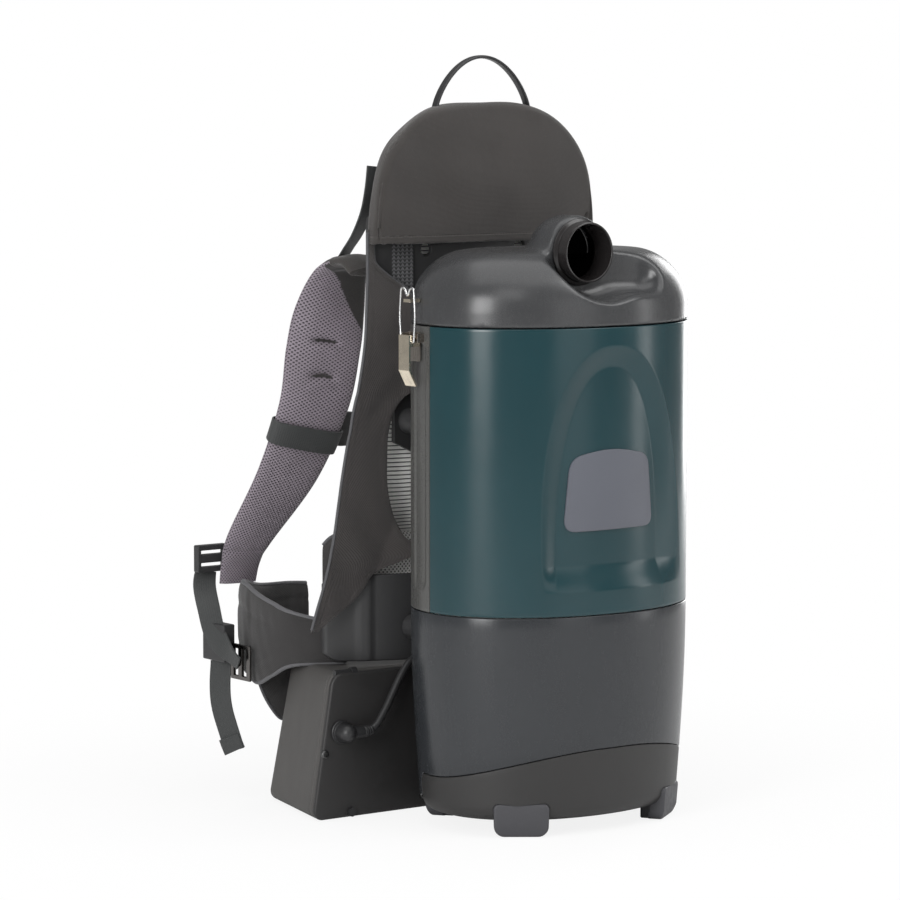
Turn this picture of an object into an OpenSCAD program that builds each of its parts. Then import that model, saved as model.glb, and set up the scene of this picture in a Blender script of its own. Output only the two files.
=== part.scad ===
// Battery backpack vacuum cleaner: a hard oval canister on a padded harness, with a battery
// box under the hip belt. +X is the right-hand side seen from the front, +Y runs from the
// canister to the wearer's back, +Z is up. The origin is on the floor under the middle of the whole.

/* [Canister] */
// Width of the canister across its sides
can_w = 275; // [250:1:330]
// Depth of the canister from front to back
can_d = 208; // [190:1:220]
// Squareness of the oval plan, where 2 is an ellipse
plan_power = 2.1; // [2:0.1:2.4]
// Height of the seam between the motor housing and the filter chamber
waist_z = 202; // [195:1:240]
// Height of the seam under the lid
rim_z = 463; // [450:1:470]
// Wall of the moulded shells
shell_t = 3; // [2.5:0.1:3.6]
// Height of the underside above the floor
floor_gap = 14; // [12:1:18]
// Width of the foot of the motor housing, as a share of the width at its top
taper = 0.93; // [0.9:0.01:1]
// Height of the feet
foot_h = 31; // [28:1:36]

/* [Lid] */
// Height of the lid from its seam to its flat top
lid_h = 67; // [62:1:72]
// Radius of the lid's rounded shoulder
lid_shoulder = 48; // [40:1:54]
// Bore of the hose inlet
port_bore = 50.8; // [44:0.1:52]
// Wall of the hose inlet tube
port_t = 2; // [1.5:0.1:2.5]
// Distance from the middle of the canister to the mouth of the inlet
port_reach = 75; // [70:1:80]

/* [Motor] */
// Diameter of the fan wheel
fan_d = 104; // [90:1:110]
// Diameter of the motor shaft
shaft_d = 8; // [6:0.5:10]

/* [Latches] */
// Width of each latch lever
lever_w = 16; // [14:1:18]
// Length of each latch lever below its pin
lever_l = 44; // [40:1:48]
// Wire of each latch bail
bail_wire = 2.4; // [2:0.1:2.8]

/* [Harness] */
// Height of the top of the hood over the back plate
hood_top = 666; // [650:1:690]
// Width of the hood
hood_w = 256; // [240:1:266]
// Thickness of the shoulder pads
pad_t = 14; // [10:1:16]
// Width of the webbing
webbing_w = 25; // [20:1:28]
// Thickness of the webbing
webbing_t = 2; // [1.5:0.1:2.5]
// Thickness of the back plate
plate_t = 5; // [4:0.5:5.5]

/* [Battery box] */
// Width of the battery box at its foot
box_w = 392; // [360:1:400]
// Height of the battery box
box_h = 136; // [126:1:138]
// Depth of the battery box at its foot
box_d = 124; // [110:1:128]
// Diameter of the power cable
cable_d = 7; // [6:0.5:8]

/* [Hidden] */
$fn = 48;

gap = 0.3;                       // clearance between pieces that sit beside each other
run = 0.05;                      // radial clearance of a pin that turns in its hole
sides = 48;                      // points round the oval plan
a = can_w / 2;
b = can_d / 2;
badge_t = 1.5;
harness_reach = 313;             // from the canister's axis to the far side of the harness
can_y = -(harness_reach - b - badge_t) / 2;

// ---- outlines and skins -------------------------------------------------------------

function spow(v, e) = sign(v) * pow(abs(v), e);
function mix(p, q, s) = p + (q - p) * s;
function unit(v) = v / norm(v);

// One point of the oval with half axes p and q, t degrees round from +X
function oval_point(p, q, t) = [p * spow(cos(t), 2 / plan_power), q * spow(sin(t), 2 / plan_power)];

// The oval plan of the canister, taken in by some distance all round
function oval(inset = 0) = [for (i = [0 : sides - 1]) oval_point(a - inset, b - inset, 360 * i / sides)];

// Distances from the axis to the oval's edge, back from x and out from y
function depth_at(x) = b * pow(1 - pow(abs(x) / a, plan_power), 1 / plan_power);
function width_at(y) = a * pow(1 - pow(abs(y) / b, plan_power), 1 / plan_power);

module oval_slab(z0, z1, inset) translate([0, 0, z0]) linear_extrude(z1 - z0) polygon(oval(inset));

module oval_wall(z0, z1, outer, inner)
    translate([0, 0, z0]) linear_extrude(z1 - z0) difference() {
        polygon(oval(outer));
        polygon(oval(inner));
    }

// A skin through rings of equal count, each turning anticlockwise about the way the rings advance.
// looped joins the last ring to the first; otherwise both ends are capped.
module loft(rings, looped = false) {
    n = len(rings[0]);
    m = len(rings);
    last = looped ? m - 1 : m - 2;
    walls = [for (j = [0 : last], i = [0 : n - 1])
        let (k = (i + 1) % n, u = (j + 1) % m)
        each [[j * n + i, u * n + i, u * n + k], [j * n + i, u * n + k, j * n + k]]];
    first_cap = [for (i = [1 : n - 2]) [0, i, i + 1]];
    last_cap = [for (i = [1 : n - 2]) [(m - 1) * n, (m - 1) * n + i + 1, (m - 1) * n + i]];
    polyhedron([for (r = rings) each r], looped ? walls : concat(walls, first_cap, last_cap), convexity = 6);
}

// Stations of a band: [place, side direction, width, thickness], flattened to eight numbers
function station(place, side, w, t) = [place.x, place.y, place.z, side.x, side.y, side.z, w, t];
function place_of(s) = [s[0], s[1], s[2]];
function side_of(s) = [s[3], s[4], s[5]];

// Rings of n points round a band's section; e is 1 for a diamond's round and less for a fuller section
function band_rings(st, n, e) = [for (i = [0 : len(st) - 1])
    let (way = unit(place_of(st[min(i + 1, len(st) - 1)]) - place_of(st[max(i - 1, 0)])),
         v = unit(cross(way, side_of(st[i]))),
         u = cross(v, way))
    [for (k = [0 : n - 1]) let (t = 360 * (k + 0.5) / n)
        place_of(st[i]) + u * st[i][6] / 2 * spow(cos(t), e) + v * st[i][7] / 2 * spow(sin(t), e)]];

// A smooth run through stations, with some steps between each two
function smooth(st, steps) = let (m = len(st)) concat(
    [for (i = [0 : m - 2], s = [0 : steps - 1])
        let (t = s / steps, p0 = st[max(i - 1, 0)], p1 = st[i], p2 = st[i + 1], p3 = st[min(i + 2, m - 1)])
        0.5 * (2 * p1 + (p2 - p0) * t + (2 * p0 - 5 * p1 + 4 * p2 - p3) * t * t
            + (3 * p1 - p0 - 3 * p2 + p3) * t * t * t)],
    [st[m - 1]]);

// A padded band has a section of twelve points with full, rounded sides
module padded_band(st, steps = 2) loft(band_rings(smooth(st, steps), 12, 0.6));

// Webbing has a square section, grown so that the ring of four reaches the flats
module webbing(places, side, w = webbing_w, t = webbing_t, steps = 3)
    loft(band_rings(smooth([for (p = places) station(p, side, w * sqrt(2), t * sqrt(2))], steps), 4, 1));

module at_canister() translate([0, can_y, 0]) children();
module both_sides() for (s = [0, 1]) mirror([s, 0, 0]) children();
module on_side(right) mirror([right ? 1 : 0, 0, 0]) children();

// A round bar along +Y and one along +X
module bar_y(x, y0, y1, z, r) translate([x, y0, z]) rotate([-90, 0, 0]) cylinder(r = r, h = y1 - y0);
module bar_x(x0, x1, y, z, r) translate([x0, y, z]) rotate([0, 90, 0]) cylinder(r = r, h = x1 - x0);

// A box from its lowest corner to its highest
module block(p, q) translate(p) cube(q - p);

// ---- motor housing, base and feet -----------------------------------------------------

cap_reach = 107;                 // how far the base cap goes round from the front, in degrees
cap_low = 50;                    // height of the cap's top edge at its ends
cap_high = 78;                   // height of the cap's top edge at the front
bottom_round = 14;               // rounding under the housing and the cap
neck_z = 130;                    // height at which the housing's taper is nearly gone

function from_front(i) = let (t = 360 * (i % sides) / sides) min(abs(t - 270), abs(t + 90));
function has_cap(i) = from_front(i) < cap_reach;
function cap_edge(i) = cap_low + (cap_high - cap_low) * cos(from_front(i) * 90 / cap_reach);

// Share of the full plan that the housing has at a height
function narrowing(z) =
    let (s = min(1, max(0, (z - floor_gap) / (waist_z - floor_gap)))) taper + (1 - taper) * sin(90 * s);

function housing_point(i, z, inset) =
    let (k = narrowing(z), p = oval_point(a * k - inset, b * k - inset, 360 * i / sides)) [p.x, p.y, z];
function housing_ring(z, inset) = [for (i = [0 : sides - 1]) housing_point(i, z, inset)];

under_cap = shell_t + gap;
standoff_x = 76;
standoff_low = 172;
standoff_high = 366;
standoff_r = 12;
screw_r = 2.5;
vent_w = 66;
vent_h = 5;
vent_step = 11;
vent_z = 92;

module housing_skin() {
    inside = under_cap + shell_t;
    step = [for (i = [0 : sides - 1]) has_cap(i) ? under_cap : 0];
    edge = [for (i = [0 : sides - 1]) has_cap(i) ? cap_edge(i) : cap_low];
    loft([
        housing_ring(floor_gap + 2, bottom_round + under_cap),
        [for (i = [0 : sides - 1]) housing_point(i, floor_gap + bottom_round, step[i])],
        [for (i = [0 : sides - 1]) housing_point(i, edge[i] + gap, step[i])],
        [for (i = [0 : sides - 1]) housing_point(i, edge[i] + 2 * gap, 0)],
        housing_ring(neck_z, 0),
        housing_ring(waist_z - gap, 0),
        housing_ring(waist_z - gap, shell_t),
        housing_ring(neck_z, shell_t),
        housing_ring(cap_high + 8, shell_t),
        housing_ring(cap_low - 4, inside),
        housing_ring(floor_gap + bottom_round, inside),
        housing_ring(floor_gap + 2 + shell_t, bottom_round + inside)
    ]);
}

// The space the canister takes, grown by the clearance, for pieces that seat on its outside
module canister_space(z0, z1) loft([for (z = [z0, z1]) housing_ring(z, -gap)]);

module motor_housing() color("dimgray") at_canister() difference() {
    housing_skin();
    for (k = [-2 : 2]) let (z = vent_z + k * vent_step)
        block([-vent_w / 2, b - 30, z - vent_h / 2], [vent_w / 2, b + 10, z + vent_h / 2]);
    for (s = [-1, 1]) bar_y(s * standoff_x, b - 60, b + 10, standoff_low, screw_r + gap);
}

foot_w = 51;
foot_t = 15;
front_foot = [0.61 * a, -0.646 * b];
rear_foot = [72, 74];
foot_turn = 36;                  // how far each foot turns away from the front or back
sole_in = 26;                    // how far the sole reaches under the housing

module foot_outline(grow) hull() for (s = [-1, 1]) {
    translate([s * (foot_w / 2 - 9), 9]) circle(r = 9 + grow, $fn = 32);
    translate([s * (foot_w / 2 - 5), foot_h - 5]) circle(r = 5 + grow, $fn = 32);
}

module foot_block(grow = 0) rotate([90, 0, 0]) linear_extrude(foot_t + 2 * grow, center = true) foot_outline(grow);

module each_foot() for (s = [-1, 1]) {
    translate([s * front_foot.x, front_foot.y, 0]) rotate([0, 0, s * foot_turn]) children();
    translate([s * rear_foot.x, rear_foot.y, 0]) rotate([0, 0, 180 - s * foot_turn]) children();
}

module feet() color("gray") at_canister() {
    difference() {
        each_foot() foot_block();
        loft([
            [for (i = [0 : sides - 1]) housing_point(i, floor_gap - gap, bottom_round)],
            [for (i = [0 : sides - 1]) housing_point(i, floor_gap + bottom_round, has_cap(i) ? shell_t : -gap)],
            [for (i = [0 : sides - 1]) housing_point(i, waist_z, has_cap(i) ? shell_t : -gap)]
        ]);
    }
    each_foot() block([-foot_w / 2 + 9, foot_t / 2, 0], [foot_w / 2 - 9, foot_t / 2 + sole_in, floor_gap - 2 * gap]);
}

module base_cap() color("darkslategray") at_canister() difference() {
    first = ceil((270 - cap_reach) * sides / 360);
    count = floor(2 * cap_reach * sides / 360);
    loft([for (k = [0 : count]) let (i = first + count - k) [
        housing_point(i, floor_gap + bottom_round, shell_t),
        housing_point(i, floor_gap, bottom_round + shell_t),
        housing_point(i, floor_gap, bottom_round),
        housing_point(i, floor_gap + 0.3 * bottom_round, 0.3 * bottom_round),
        housing_point(i, floor_gap + bottom_round, 0),
        housing_point(i, cap_edge(i), 0),
        housing_point(i, cap_edge(i), shell_t)
    ]]);
    each_foot() foot_block(gap);
}

// ---- filter chamber and its front cover -----------------------------------------------

cover_back = shell_t + gap;      // inset of the chamber's wall under the front cover
chamber_in = 2 * shell_t + gap;  // inset of the chamber's inner face

module front_half(y0 = -gap / 2) translate([-can_w, y0 - can_d]) square([2 * can_w, can_d]);

module filter_chamber() color("dimgray") at_canister() difference() {
    translate([0, 0, waist_z]) linear_extrude(rim_z - waist_z) difference() {
        union() {
            difference() {
                polygon(oval(0));
                front_half(gap / 2);
            }
            polygon(oval(cover_back));
        }
        polygon(oval(chamber_in));
    }
    for (s = [-1, 1]) bar_y(s * standoff_x, b - 60, b + 10, standoff_high, screw_r + gap);
}

module front_cover() color("darkslategray") at_canister()
    translate([0, 0, waist_z]) linear_extrude(rim_z - waist_z) intersection() {
        difference() {
            polygon(oval(0));
            polygon(oval(shell_t));
        }
        front_half();
    }

badge_w = 88;
badge_z0 = 276;
badge_z1 = 347;

module badge_plate() color("slategray") at_canister()
    translate([0, 0, badge_z0]) linear_extrude(badge_z1 - badge_z0) difference() {
        intersection() {
            polygon(oval(-badge_t - gap));
            translate([-badge_w / 2, -can_d]) square([badge_w, can_d]);
        }
        polygon(oval(-gap));
    }

// ---- filters ----------------------------------------------------------------------------

floor_t = 6;
floor_top = waist_z - 6;
intake_r = 44;
collar_z = rim_z - 14;
collar_t = 4;
spigot_r = 17;
spigot_t = 2;

module chamber_floor() color("black") at_canister() difference() {
    oval_slab(floor_top - floor_t, floor_top, shell_t + gap);
    translate([0, 0, floor_top - 2 * floor_t]) cylinder(r = intake_r, h = 3 * floor_t);
}

module cloth_filter() color("lightgray") at_canister() difference() {
    oval_slab(floor_top + gap, collar_z - gap, chamber_in + 2);
    oval_slab(floor_top + gap + 2, collar_z + gap, chamber_in + 4);
}

module paper_bag() color("wheat") at_canister()
    oval_slab(floor_top + 2 * gap + 2, collar_z - gap, chamber_in + 9);

module bag_collar() color("white") at_canister() difference() {
    oval_slab(collar_z, collar_z + collar_t, chamber_in + gap);
    translate([port_x, bulge_back, collar_z - 1]) cylinder(r = spigot_r + 1.5, h = collar_t + 2);
}

module exhaust_filter() color("gainsboro") at_canister()
    let (y1 = depth_at(vent_w / 2) * narrowing(vent_z - 30) - shell_t - 2.4)
        block([-vent_w / 2, y1 - 12, vent_z - 30], [vent_w / 2, y1, vent_z + 30]);

// ---- motor --------------------------------------------------------------------------------

fan_z = 148;                     // underside of the fan wheel
fan_h = 16;
case_r = fan_d / 2 + 5;
case_top = floor_top - floor_t - 4;
case_floor = fan_z - 6;
motor_r = 40;
motor_foot = floor_gap + 2 + shell_t + gap;
bearing_r = 11;
bearing_h = 7;
bearing_z = [motor_foot + 4, case_floor - bearing_h - 1];
wheel_eye = 20;

module motor_gasket() color("black") at_canister() translate([0, 0, case_top + gap])
    rotate_extrude() translate([intake_r, 0]) square([case_r - intake_r - 2, 4 - 2 * gap]);

module motor_case() color("silver") at_canister() difference() {
    union() {
        translate([0, 0, case_floor - 3]) cylinder(r = case_r, h = case_top - case_floor + 3);
        translate([0, 0, motor_foot]) cylinder(r = motor_r, h = case_floor - motor_foot);
    }
    translate([0, 0, case_floor]) cylinder(r = case_r - 3, h = case_top - case_floor - 3);
    translate([0, 0, case_top - 4]) cylinder(r = intake_r - 12, h = 8);
    translate([0, 0, motor_foot + 4 + bearing_h])
        cylinder(r = motor_r - 3, h = bearing_z[1] - 2 - motor_foot - 4 - bearing_h);
    translate([0, 0, bearing_z[0]]) cylinder(r = bearing_r + run, h = bearing_h + 1);
    translate([0, 0, bearing_z[1] - 3]) cylinder(r = bearing_r + run, h = bearing_h + 3);
    translate([0, 0, motor_foot + 2]) cylinder(r = shaft_d / 2 + 1, h = case_floor);
    for (t = [0 : 60 : 300]) rotate([0, 0, t]) bar_x(motor_r - 8, motor_r + 4, 0, motor_foot + 30, 7);
    for (t = [15 : 30 : 345]) rotate([0, 0, t]) bar_x(case_r - 8, case_r + 4, 0, fan_z + 8, 5);
}

module motor_bearings() color("lightsteelblue") at_canister() for (z = bearing_z)
    translate([0, 0, z]) rotate_extrude() translate([shaft_d / 2 + run, 0])
        square([bearing_r - shaft_d / 2 - run, bearing_h]);

stator_z = [motor_foot + 42, bearing_z[1] - 14];
armature_r = 19;

module stator() color("peru") at_canister() translate([0, 0, stator_z[0]]) rotate_extrude()
    translate([armature_r + 1, 0]) square([motor_r - 3 - gap - armature_r - 1, stator_z[1] - stator_z[0]]);

module armature() color("sienna") at_canister() difference() {
    union() {
        translate([0, 0, stator_z[0] + 2]) cylinder(r = armature_r, h = stator_z[1] - stator_z[0] - 4);
        translate([0, 0, stator_z[0] - 16]) cylinder(r = 11, h = 20);
    }
    translate([0, 0, stator_z[0] - 20]) cylinder(r = shaft_d / 2 + gap / 6, h = 100);
}

module fan_wheel() color("whitesmoke") at_canister() {
    translate([0, 0, motor_foot + 3]) cylinder(r = shaft_d / 2, h = fan_z - motor_foot - 3);
    translate([0, 0, fan_z - 4]) cylinder(r = 10, h = 5);
    translate([0, 0, fan_z]) cylinder(r = fan_d / 2, h = 2);
    translate([0, 0, fan_z + 2]) for (t = [0 : 45 : 315]) rotate([0, 0, t])
        translate([wheel_eye, 0, -0.1]) rotate([0, 0, 30]) cube([26, 2, fan_h - 4]);
    translate([0, 0, fan_z + fan_h - 2.5]) difference() {
        cylinder(r = fan_d / 2, h = 2);
        translate([0, 0, -1]) cylinder(r = wheel_eye + 4, h = 4);
    }
}

// ---- lid ------------------------------------------------------------------------------------

lid_z = rim_z + gap;
lid_top = rim_z + lid_h;
port_x = -13;
port_z = lid_top - 1;
port_r = port_bore / 2 + port_t;
bulge_r = port_r + 5.6;          // round bulge behind the inlet
bulge_back = -38;                // middle of the bulge's round back end
pocket_y = -port_reach + 16;     // back wall of the pocket round the inlet
pocket_r = 44;
bead_t = 2.2;

// How far in and how high the lid's skin is, s from 0 at the rim to 1 where the top turns flat
function lid_in(s) = lid_shoulder * (1 - cos(90 * s));
function lid_ring(s, t) = [for (p = oval(lid_in(s) + t * cos(90 * s)))
    [p.x, p.y, lid_top - lid_shoulder + (lid_shoulder - t) * sin(90 * s)]];
function flat_ring(z, t) = [for (p = oval(t)) [p.x, p.y, z]];

// The lid's outside, or with a wall taken off, its inside
module dome(z, t) loft(concat([flat_ring(z, t)], [for (s = [0, 0.2, 0.4, 0.6, 0.8, 1]) lid_ring(s, t)]));

// The pocket scooped out of the lid round the inlet, seen from the front
module pocket(grow, y1) translate([0, y1, 0]) rotate([90, 0, 0]) linear_extrude(can_d) hull() {
    translate([port_x, port_z]) circle(r = pocket_r + grow, $fn = 32);
    translate([45, port_z - 20]) circle(r = 18 + grow, $fn = 32);
    translate([45, port_z + 20]) circle(r = 18 + grow, $fn = 32);
}

module bulge(r, front) {
    bar_y(port_x, front, bulge_back, port_z, r);
    translate([port_x, bulge_back, port_z]) sphere(r = r);
}

module lid() color("dimgray") at_canister() difference() {
    union() {
        difference() {
            dome(lid_z, 0);
            difference() {
                dome(lid_z - 1, shell_t);
                pocket(shell_t, pocket_y + shell_t);
            }
        }
        bulge(bulge_r, pocket_y);
    }
    pocket(0, pocket_y);
    bulge(bulge_r - shell_t, pocket_y + shell_t);
    bar_y(port_x, pocket_y - 5, bulge_back, port_z, port_r + gap);
    translate([port_x, bulge_back, lid_z]) cylinder(r = spigot_r + 1, h = port_z - lid_z);
}

module lid_seal() color("black") at_canister() oval_wall(lid_z, lid_z + 5, shell_t + gap, chamber_in);

module hose_port() color("black") at_canister() difference() {
    union() {
        bar_y(port_x, -port_reach, pocket_y + 9, port_z, port_r);
        bar_y(port_x, pocket_y - gap - bead_t, pocket_y - gap, port_z, port_r + 3);
    }
    bar_y(port_x, -port_reach - 1, pocket_y + 10, port_z, port_bore / 2);
}

// A round chamber behind the tube that turns the air down into the bag
module inlet_elbow() color("black") at_canister() difference() {
    union() {
        bulge(bulge_r - shell_t - gap, pocket_y + shell_t + gap);
        translate([port_x, bulge_back, collar_z + collar_t / 2]) cylinder(r = spigot_r, h = port_z - collar_z - collar_t);
    }
    bar_y(port_x, pocket_y - 10, bulge_back - 1, port_z, port_r + gap);
    translate([port_x, bulge_back, port_z]) sphere(r = bulge_r - 2 * shell_t);
    translate([port_x, bulge_back, collar_z]) cylinder(r = spigot_r - spigot_t, h = port_z - collar_z);
}

// ---- draw latches across the lid's seam ---------------------------------------------------

latch_y = 22;
pin_r = 1.25;
hinge_z = rim_z - 11;
hinge_x = width_at(latch_y) + 6.5;
bail_x = hinge_x + 5;            // the bail turns on the lever, outside and below the hinge
bail_z = hinge_z - 4;
ear_t = 1.6;
catch_z = rim_z + 17;            // underside of the catch on the lid
catch_h = 7;
slack = 4;                       // how far the bail's bar lies above the catch
bar_z = catch_z + catch_h + slack + bail_wire / 2;
arm_y = lever_w / 2 + gap + bail_wire / 2;
ear_y = arm_y + bail_wire / 2 + gap;

base_off = 5;                    // from the hinge line in to the base plate, clear of the turning lever

module latch_base() difference() {
    union() {
        block([-hinge_x + base_off, latch_y - ear_y - ear_t, hinge_z - 22],
            [-a + 20, latch_y + ear_y + ear_t, hinge_z + 5]);
        for (s = [-1, 1]) let (y = latch_y + s * (ear_y + ear_t / 2))
            block([-hinge_x - 3, y - ear_t / 2, hinge_z - 4], [-hinge_x + base_off + 1, y + ear_t / 2, hinge_z + 4]);
        bar_y(-hinge_x, latch_y - ear_y - ear_t, latch_y + ear_y + ear_t, hinge_z, pin_r);
    }
    canister_space(hinge_z - 30, hinge_z + 10);
}

module latch_bases() color("gainsboro") at_canister() both_sides() latch_base();

module latch_lever() difference() {
    union() {
        for (s = [-1, 1]) let (y = latch_y + s * (lever_w / 2 - ear_t / 2))
            block([-bail_x - 3.5, y - ear_t / 2, bail_z - 4], [-hinge_x + 2.7, y + ear_t / 2, hinge_z + 2.7]);
        block([-bail_x - 4, latch_y - lever_w / 2, hinge_z - lever_l + 14], [-bail_x - 2.5, latch_y + lever_w / 2, hinge_z + 2.7]);
        translate([-bail_x - 4, latch_y - lever_w / 2, hinge_z - lever_l + 14]) rotate([0, -28, 0])
            translate([0, 0, -16]) cube([1.5, lever_w, 16.5]);
    }
    bar_y(-hinge_x, latch_y - lever_w, latch_y + lever_w, hinge_z, pin_r + run);
    bar_y(-bail_x, latch_y - lever_w, latch_y + lever_w, bail_z, 0.45 * bail_wire + run);
}

module latch_lever_left() color("tan") at_canister() latch_lever();
module latch_lever_right() color("tan") at_canister() on_side(true) latch_lever();

module latch_bail() {
    r = bail_wire / 2;
    for (s = [-1, 1]) let (y = latch_y + s * arm_y) {
        translate([-bail_x, y, bail_z - 2 * r]) cylinder(r = r, h = bar_z - bail_z + 4 * r);
        bar_y(-bail_x, min(y, y - s * 3.5), max(y, y - s * 3.5), bail_z, 0.9 * r);
    }
    bar_y(-bail_x, latch_y - arm_y, latch_y + arm_y, bar_z, 0.95 * r);
}

module latch_bail_left() color("tan") at_canister() latch_bail();
module latch_bail_right() color("tan") at_canister() on_side(true) latch_bail();

module lid_catches() color("tan") at_canister() both_sides() difference() {
    block([-bail_x - 0.8, latch_y - 5, catch_z + catch_h - 3], [-a + 30, latch_y + 5, catch_z + catch_h]);
    dome(lid_z - 1, -gap);
}

// ---- back plate and what joins it to the canister -----------------------------------------

plate_y = 118;
shell_y = plate_y - 6;           // front of the lumbar shell
plate_top = 644;
window_w = 34;

module plate_outline() polygon([
    [-58, 160], [58, 160], [58, 330], [92, 346], [92, 388], [64, 406], [64, 430], [95, 452], [95, plate_top - 20],
    [75, plate_top], [-75, plate_top], [-95, plate_top - 20], [-95, 452], [-64, 430], [-64, 406], [-92, 388],
    [-92, 346], [-58, 330]]);

module back_plate() color("black") at_canister() difference() {
    translate([0, plate_y + plate_t, 0]) rotate([90, 0, 0]) linear_extrude(plate_t) difference() {
        plate_outline();
        for (s = [-1, 1], k = [0 : 3]) translate([s * 27 - window_w / 2, 200 + k * 62]) square([window_w, 44]);
    }
    for (s = [-1, 1]) bar_y(s * standoff_x, plate_y - 1, plate_y + plate_t + 1, standoff_high, screw_r + gap);
    for (s = [-1, 1]) bar_y(s * 55, plate_y - 1, plate_y + plate_t + 1, 526, 6);
}

// The lumbar shell is flat in the middle and sweeps back to its ends
lumbar_half = 150;
lumbar_flat = 60;
lumbar_low = 140;
lumbar_high = 222;
function lumbar_y(x) = shell_y + 38 * pow(max(0, abs(x) - lumbar_flat) / (lumbar_half - lumbar_flat), 1.6);

module lumbar_shell() color("black") at_canister() difference() {
    xs = [for (k = [-10 : 10]) k * lumbar_half / 10];
    translate([0, 0, lumbar_low]) linear_extrude(lumbar_high - lumbar_low) polygon(concat(
        [for (x = xs) [x, lumbar_y(x)]],
        [for (k = [len(xs) - 1 : -1 : 0]) [xs[k], lumbar_y(xs[k]) + plate_t]]));
    for (s = [-1, 1]) bar_y(s * standoff_x, shell_y - 1, plate_y + plate_t + 2, standoff_low, screw_r + gap);
}

module standoffs() color("black") at_canister() difference() {
    for (s = [-1, 1]) {
        bar_y(s * standoff_x, b - 40, shell_y - gap, standoff_low, standoff_r);
        bar_y(s * standoff_x, b - 40, plate_y - gap, standoff_high, standoff_r);
    }
    canister_space(standoff_low - 30, standoff_low + 25);
    canister_space(standoff_high - 30, standoff_high + 30);
    for (s = [-1, 1], z = [standoff_low, standoff_high]) bar_y(s * standoff_x, 0, plate_y + 10, z, screw_r + gap);
}

module screw_y(x, y0, y1, z) {
    bar_y(x, y0, y1, z, screw_r);
    bar_y(x, y1 - gap / 6, y1 + 3, z, 2.2 * screw_r);
}

module plate_screws() color("silver") at_canister() for (s = [-1, 1]) {
    screw_y(s * standoff_x, depth_at(standoff_x) - 2 * shell_t, plate_y + plate_t + gap, standoff_high);
    screw_y(s * standoff_x, depth_at(standoff_x) - 2 * shell_t, lumbar_y(standoff_x + 6) + plate_t + gap, standoff_low);
}

strap_x = 84;

module torso_straps() color("dimgray") at_canister() for (s = [-1, 1])
    block([s * strap_x - webbing_w / 2, plate_y - gap - webbing_t, 456], [s * strap_x + webbing_w / 2, plate_y - gap, 606]);

// ---- soft back, lumbar and side panels -------------------------------------------------------

module back_pad() color("slategray") at_canister() let (side = [1, 0, 0], y = plate_y + plate_t + 12)
    padded_band([
        station([0, y, 268], side, 150, 10), station([0, y, 300], side, 200, 17),
        station([0, y, 400], side, 206, 17), station([0, y, 470], side, 170, 17),
        station([0, y, 540], side, 150, 15), station([0, y, 588], side, 120, 10)]);

module lumbar_pad() color("dimgray") at_canister() let (up = [0, 0, 1], y = 22.4)
    padded_band([for (x = [-153, -130, -90, -45, 0, 45, 90, 130, 153])
        station([x, lumbar_y(x) + y, 225], up, abs(x) > 150 ? 40 : 70, abs(x) > 150 ? 14 : 22)], 1);

panel_t = 3;
panel_foot = 172;

// Places of the side panel down its height: [z, outer edge, inner edge]
panel_edges = [[522, -131, -122], [488, -132, -82], [440, -134, -84], [400, -137, -92], [366, -140, -93],
    [345, -142, -97], [300, -147, -98], [262, -152, -90], [240, -156, -94], [216, -163, -120], [190, -171, -146],
    [panel_foot, -177, -168]];

panel_sweep = 20;                // how much further back the panel's foot lies than its upper part
panel_bend = 300;                // height below which it sweeps back
function swept(z) = plate_y + panel_sweep * pow(max(0, panel_bend - z) / (panel_bend - panel_foot), 1.3);
function panel_y(x, z) = min(lumbar_y(x), swept(z)) - panel_t - gap;

module side_panel() loft(band_rings([for (e = panel_edges) let (p = panel_y(e[1], e[0]), q = panel_y(e[2], e[0]))
    station([(e[1] + e[2]) / 2, (p + q) / 2, e[0]], [1, 0, 0], e[2] - e[1], panel_t)], 12, 0.5));

module side_panel_left() color("#3a3634") at_canister() side_panel();
module side_panel_right() color("#3a3634") at_canister() on_side(true) side_panel();

hood_y0 = 95;
hood_y1 = plate_y + plate_t + 4;
hood_z = 532;
hood_t = 3.5;

function arch(half, height) = [for (t = [0 : 7.5 : 180]) [half * spow(cos(t), 2 / 3.6), height * spow(sin(t), 2 / 3.6)]];

module hood() color("#3a3634") at_canister() difference() {
    translate([0, hood_y1, hood_z]) rotate([90, 0, 0]) linear_extrude(hood_y1 - hood_y0)
        polygon(arch(hood_w / 2, hood_top - hood_z));
    translate([0, hood_y1 - hood_t, hood_z - 1]) rotate([90, 0, 0]) linear_extrude(hood_y1 - hood_y0 - 2 * hood_t)
        polygon(arch(hood_w / 2 - hood_t, hood_top - hood_z - hood_t + 1));
}

handle_half = 52;
handle_top = hood_top + 44;
handle_y = 116;

module carry_handle() color("black") at_canister() {
    foot = hood_z + (hood_top - hood_z) * pow(1 - pow((handle_half - 6) / (hood_w / 2), 3.6), 1 / 3.6) + gap;
    rise = handle_top - foot;
    webbing([for (t = [0 : 20 : 180]) [handle_half * spow(cos(t), 0.9), handle_y, foot + rise * spow(sin(t), 0.9)]],
        [0, 1, 0], 11, 4, 2);
}

// ---- shoulder straps ---------------------------------------------------------------------------

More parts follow.
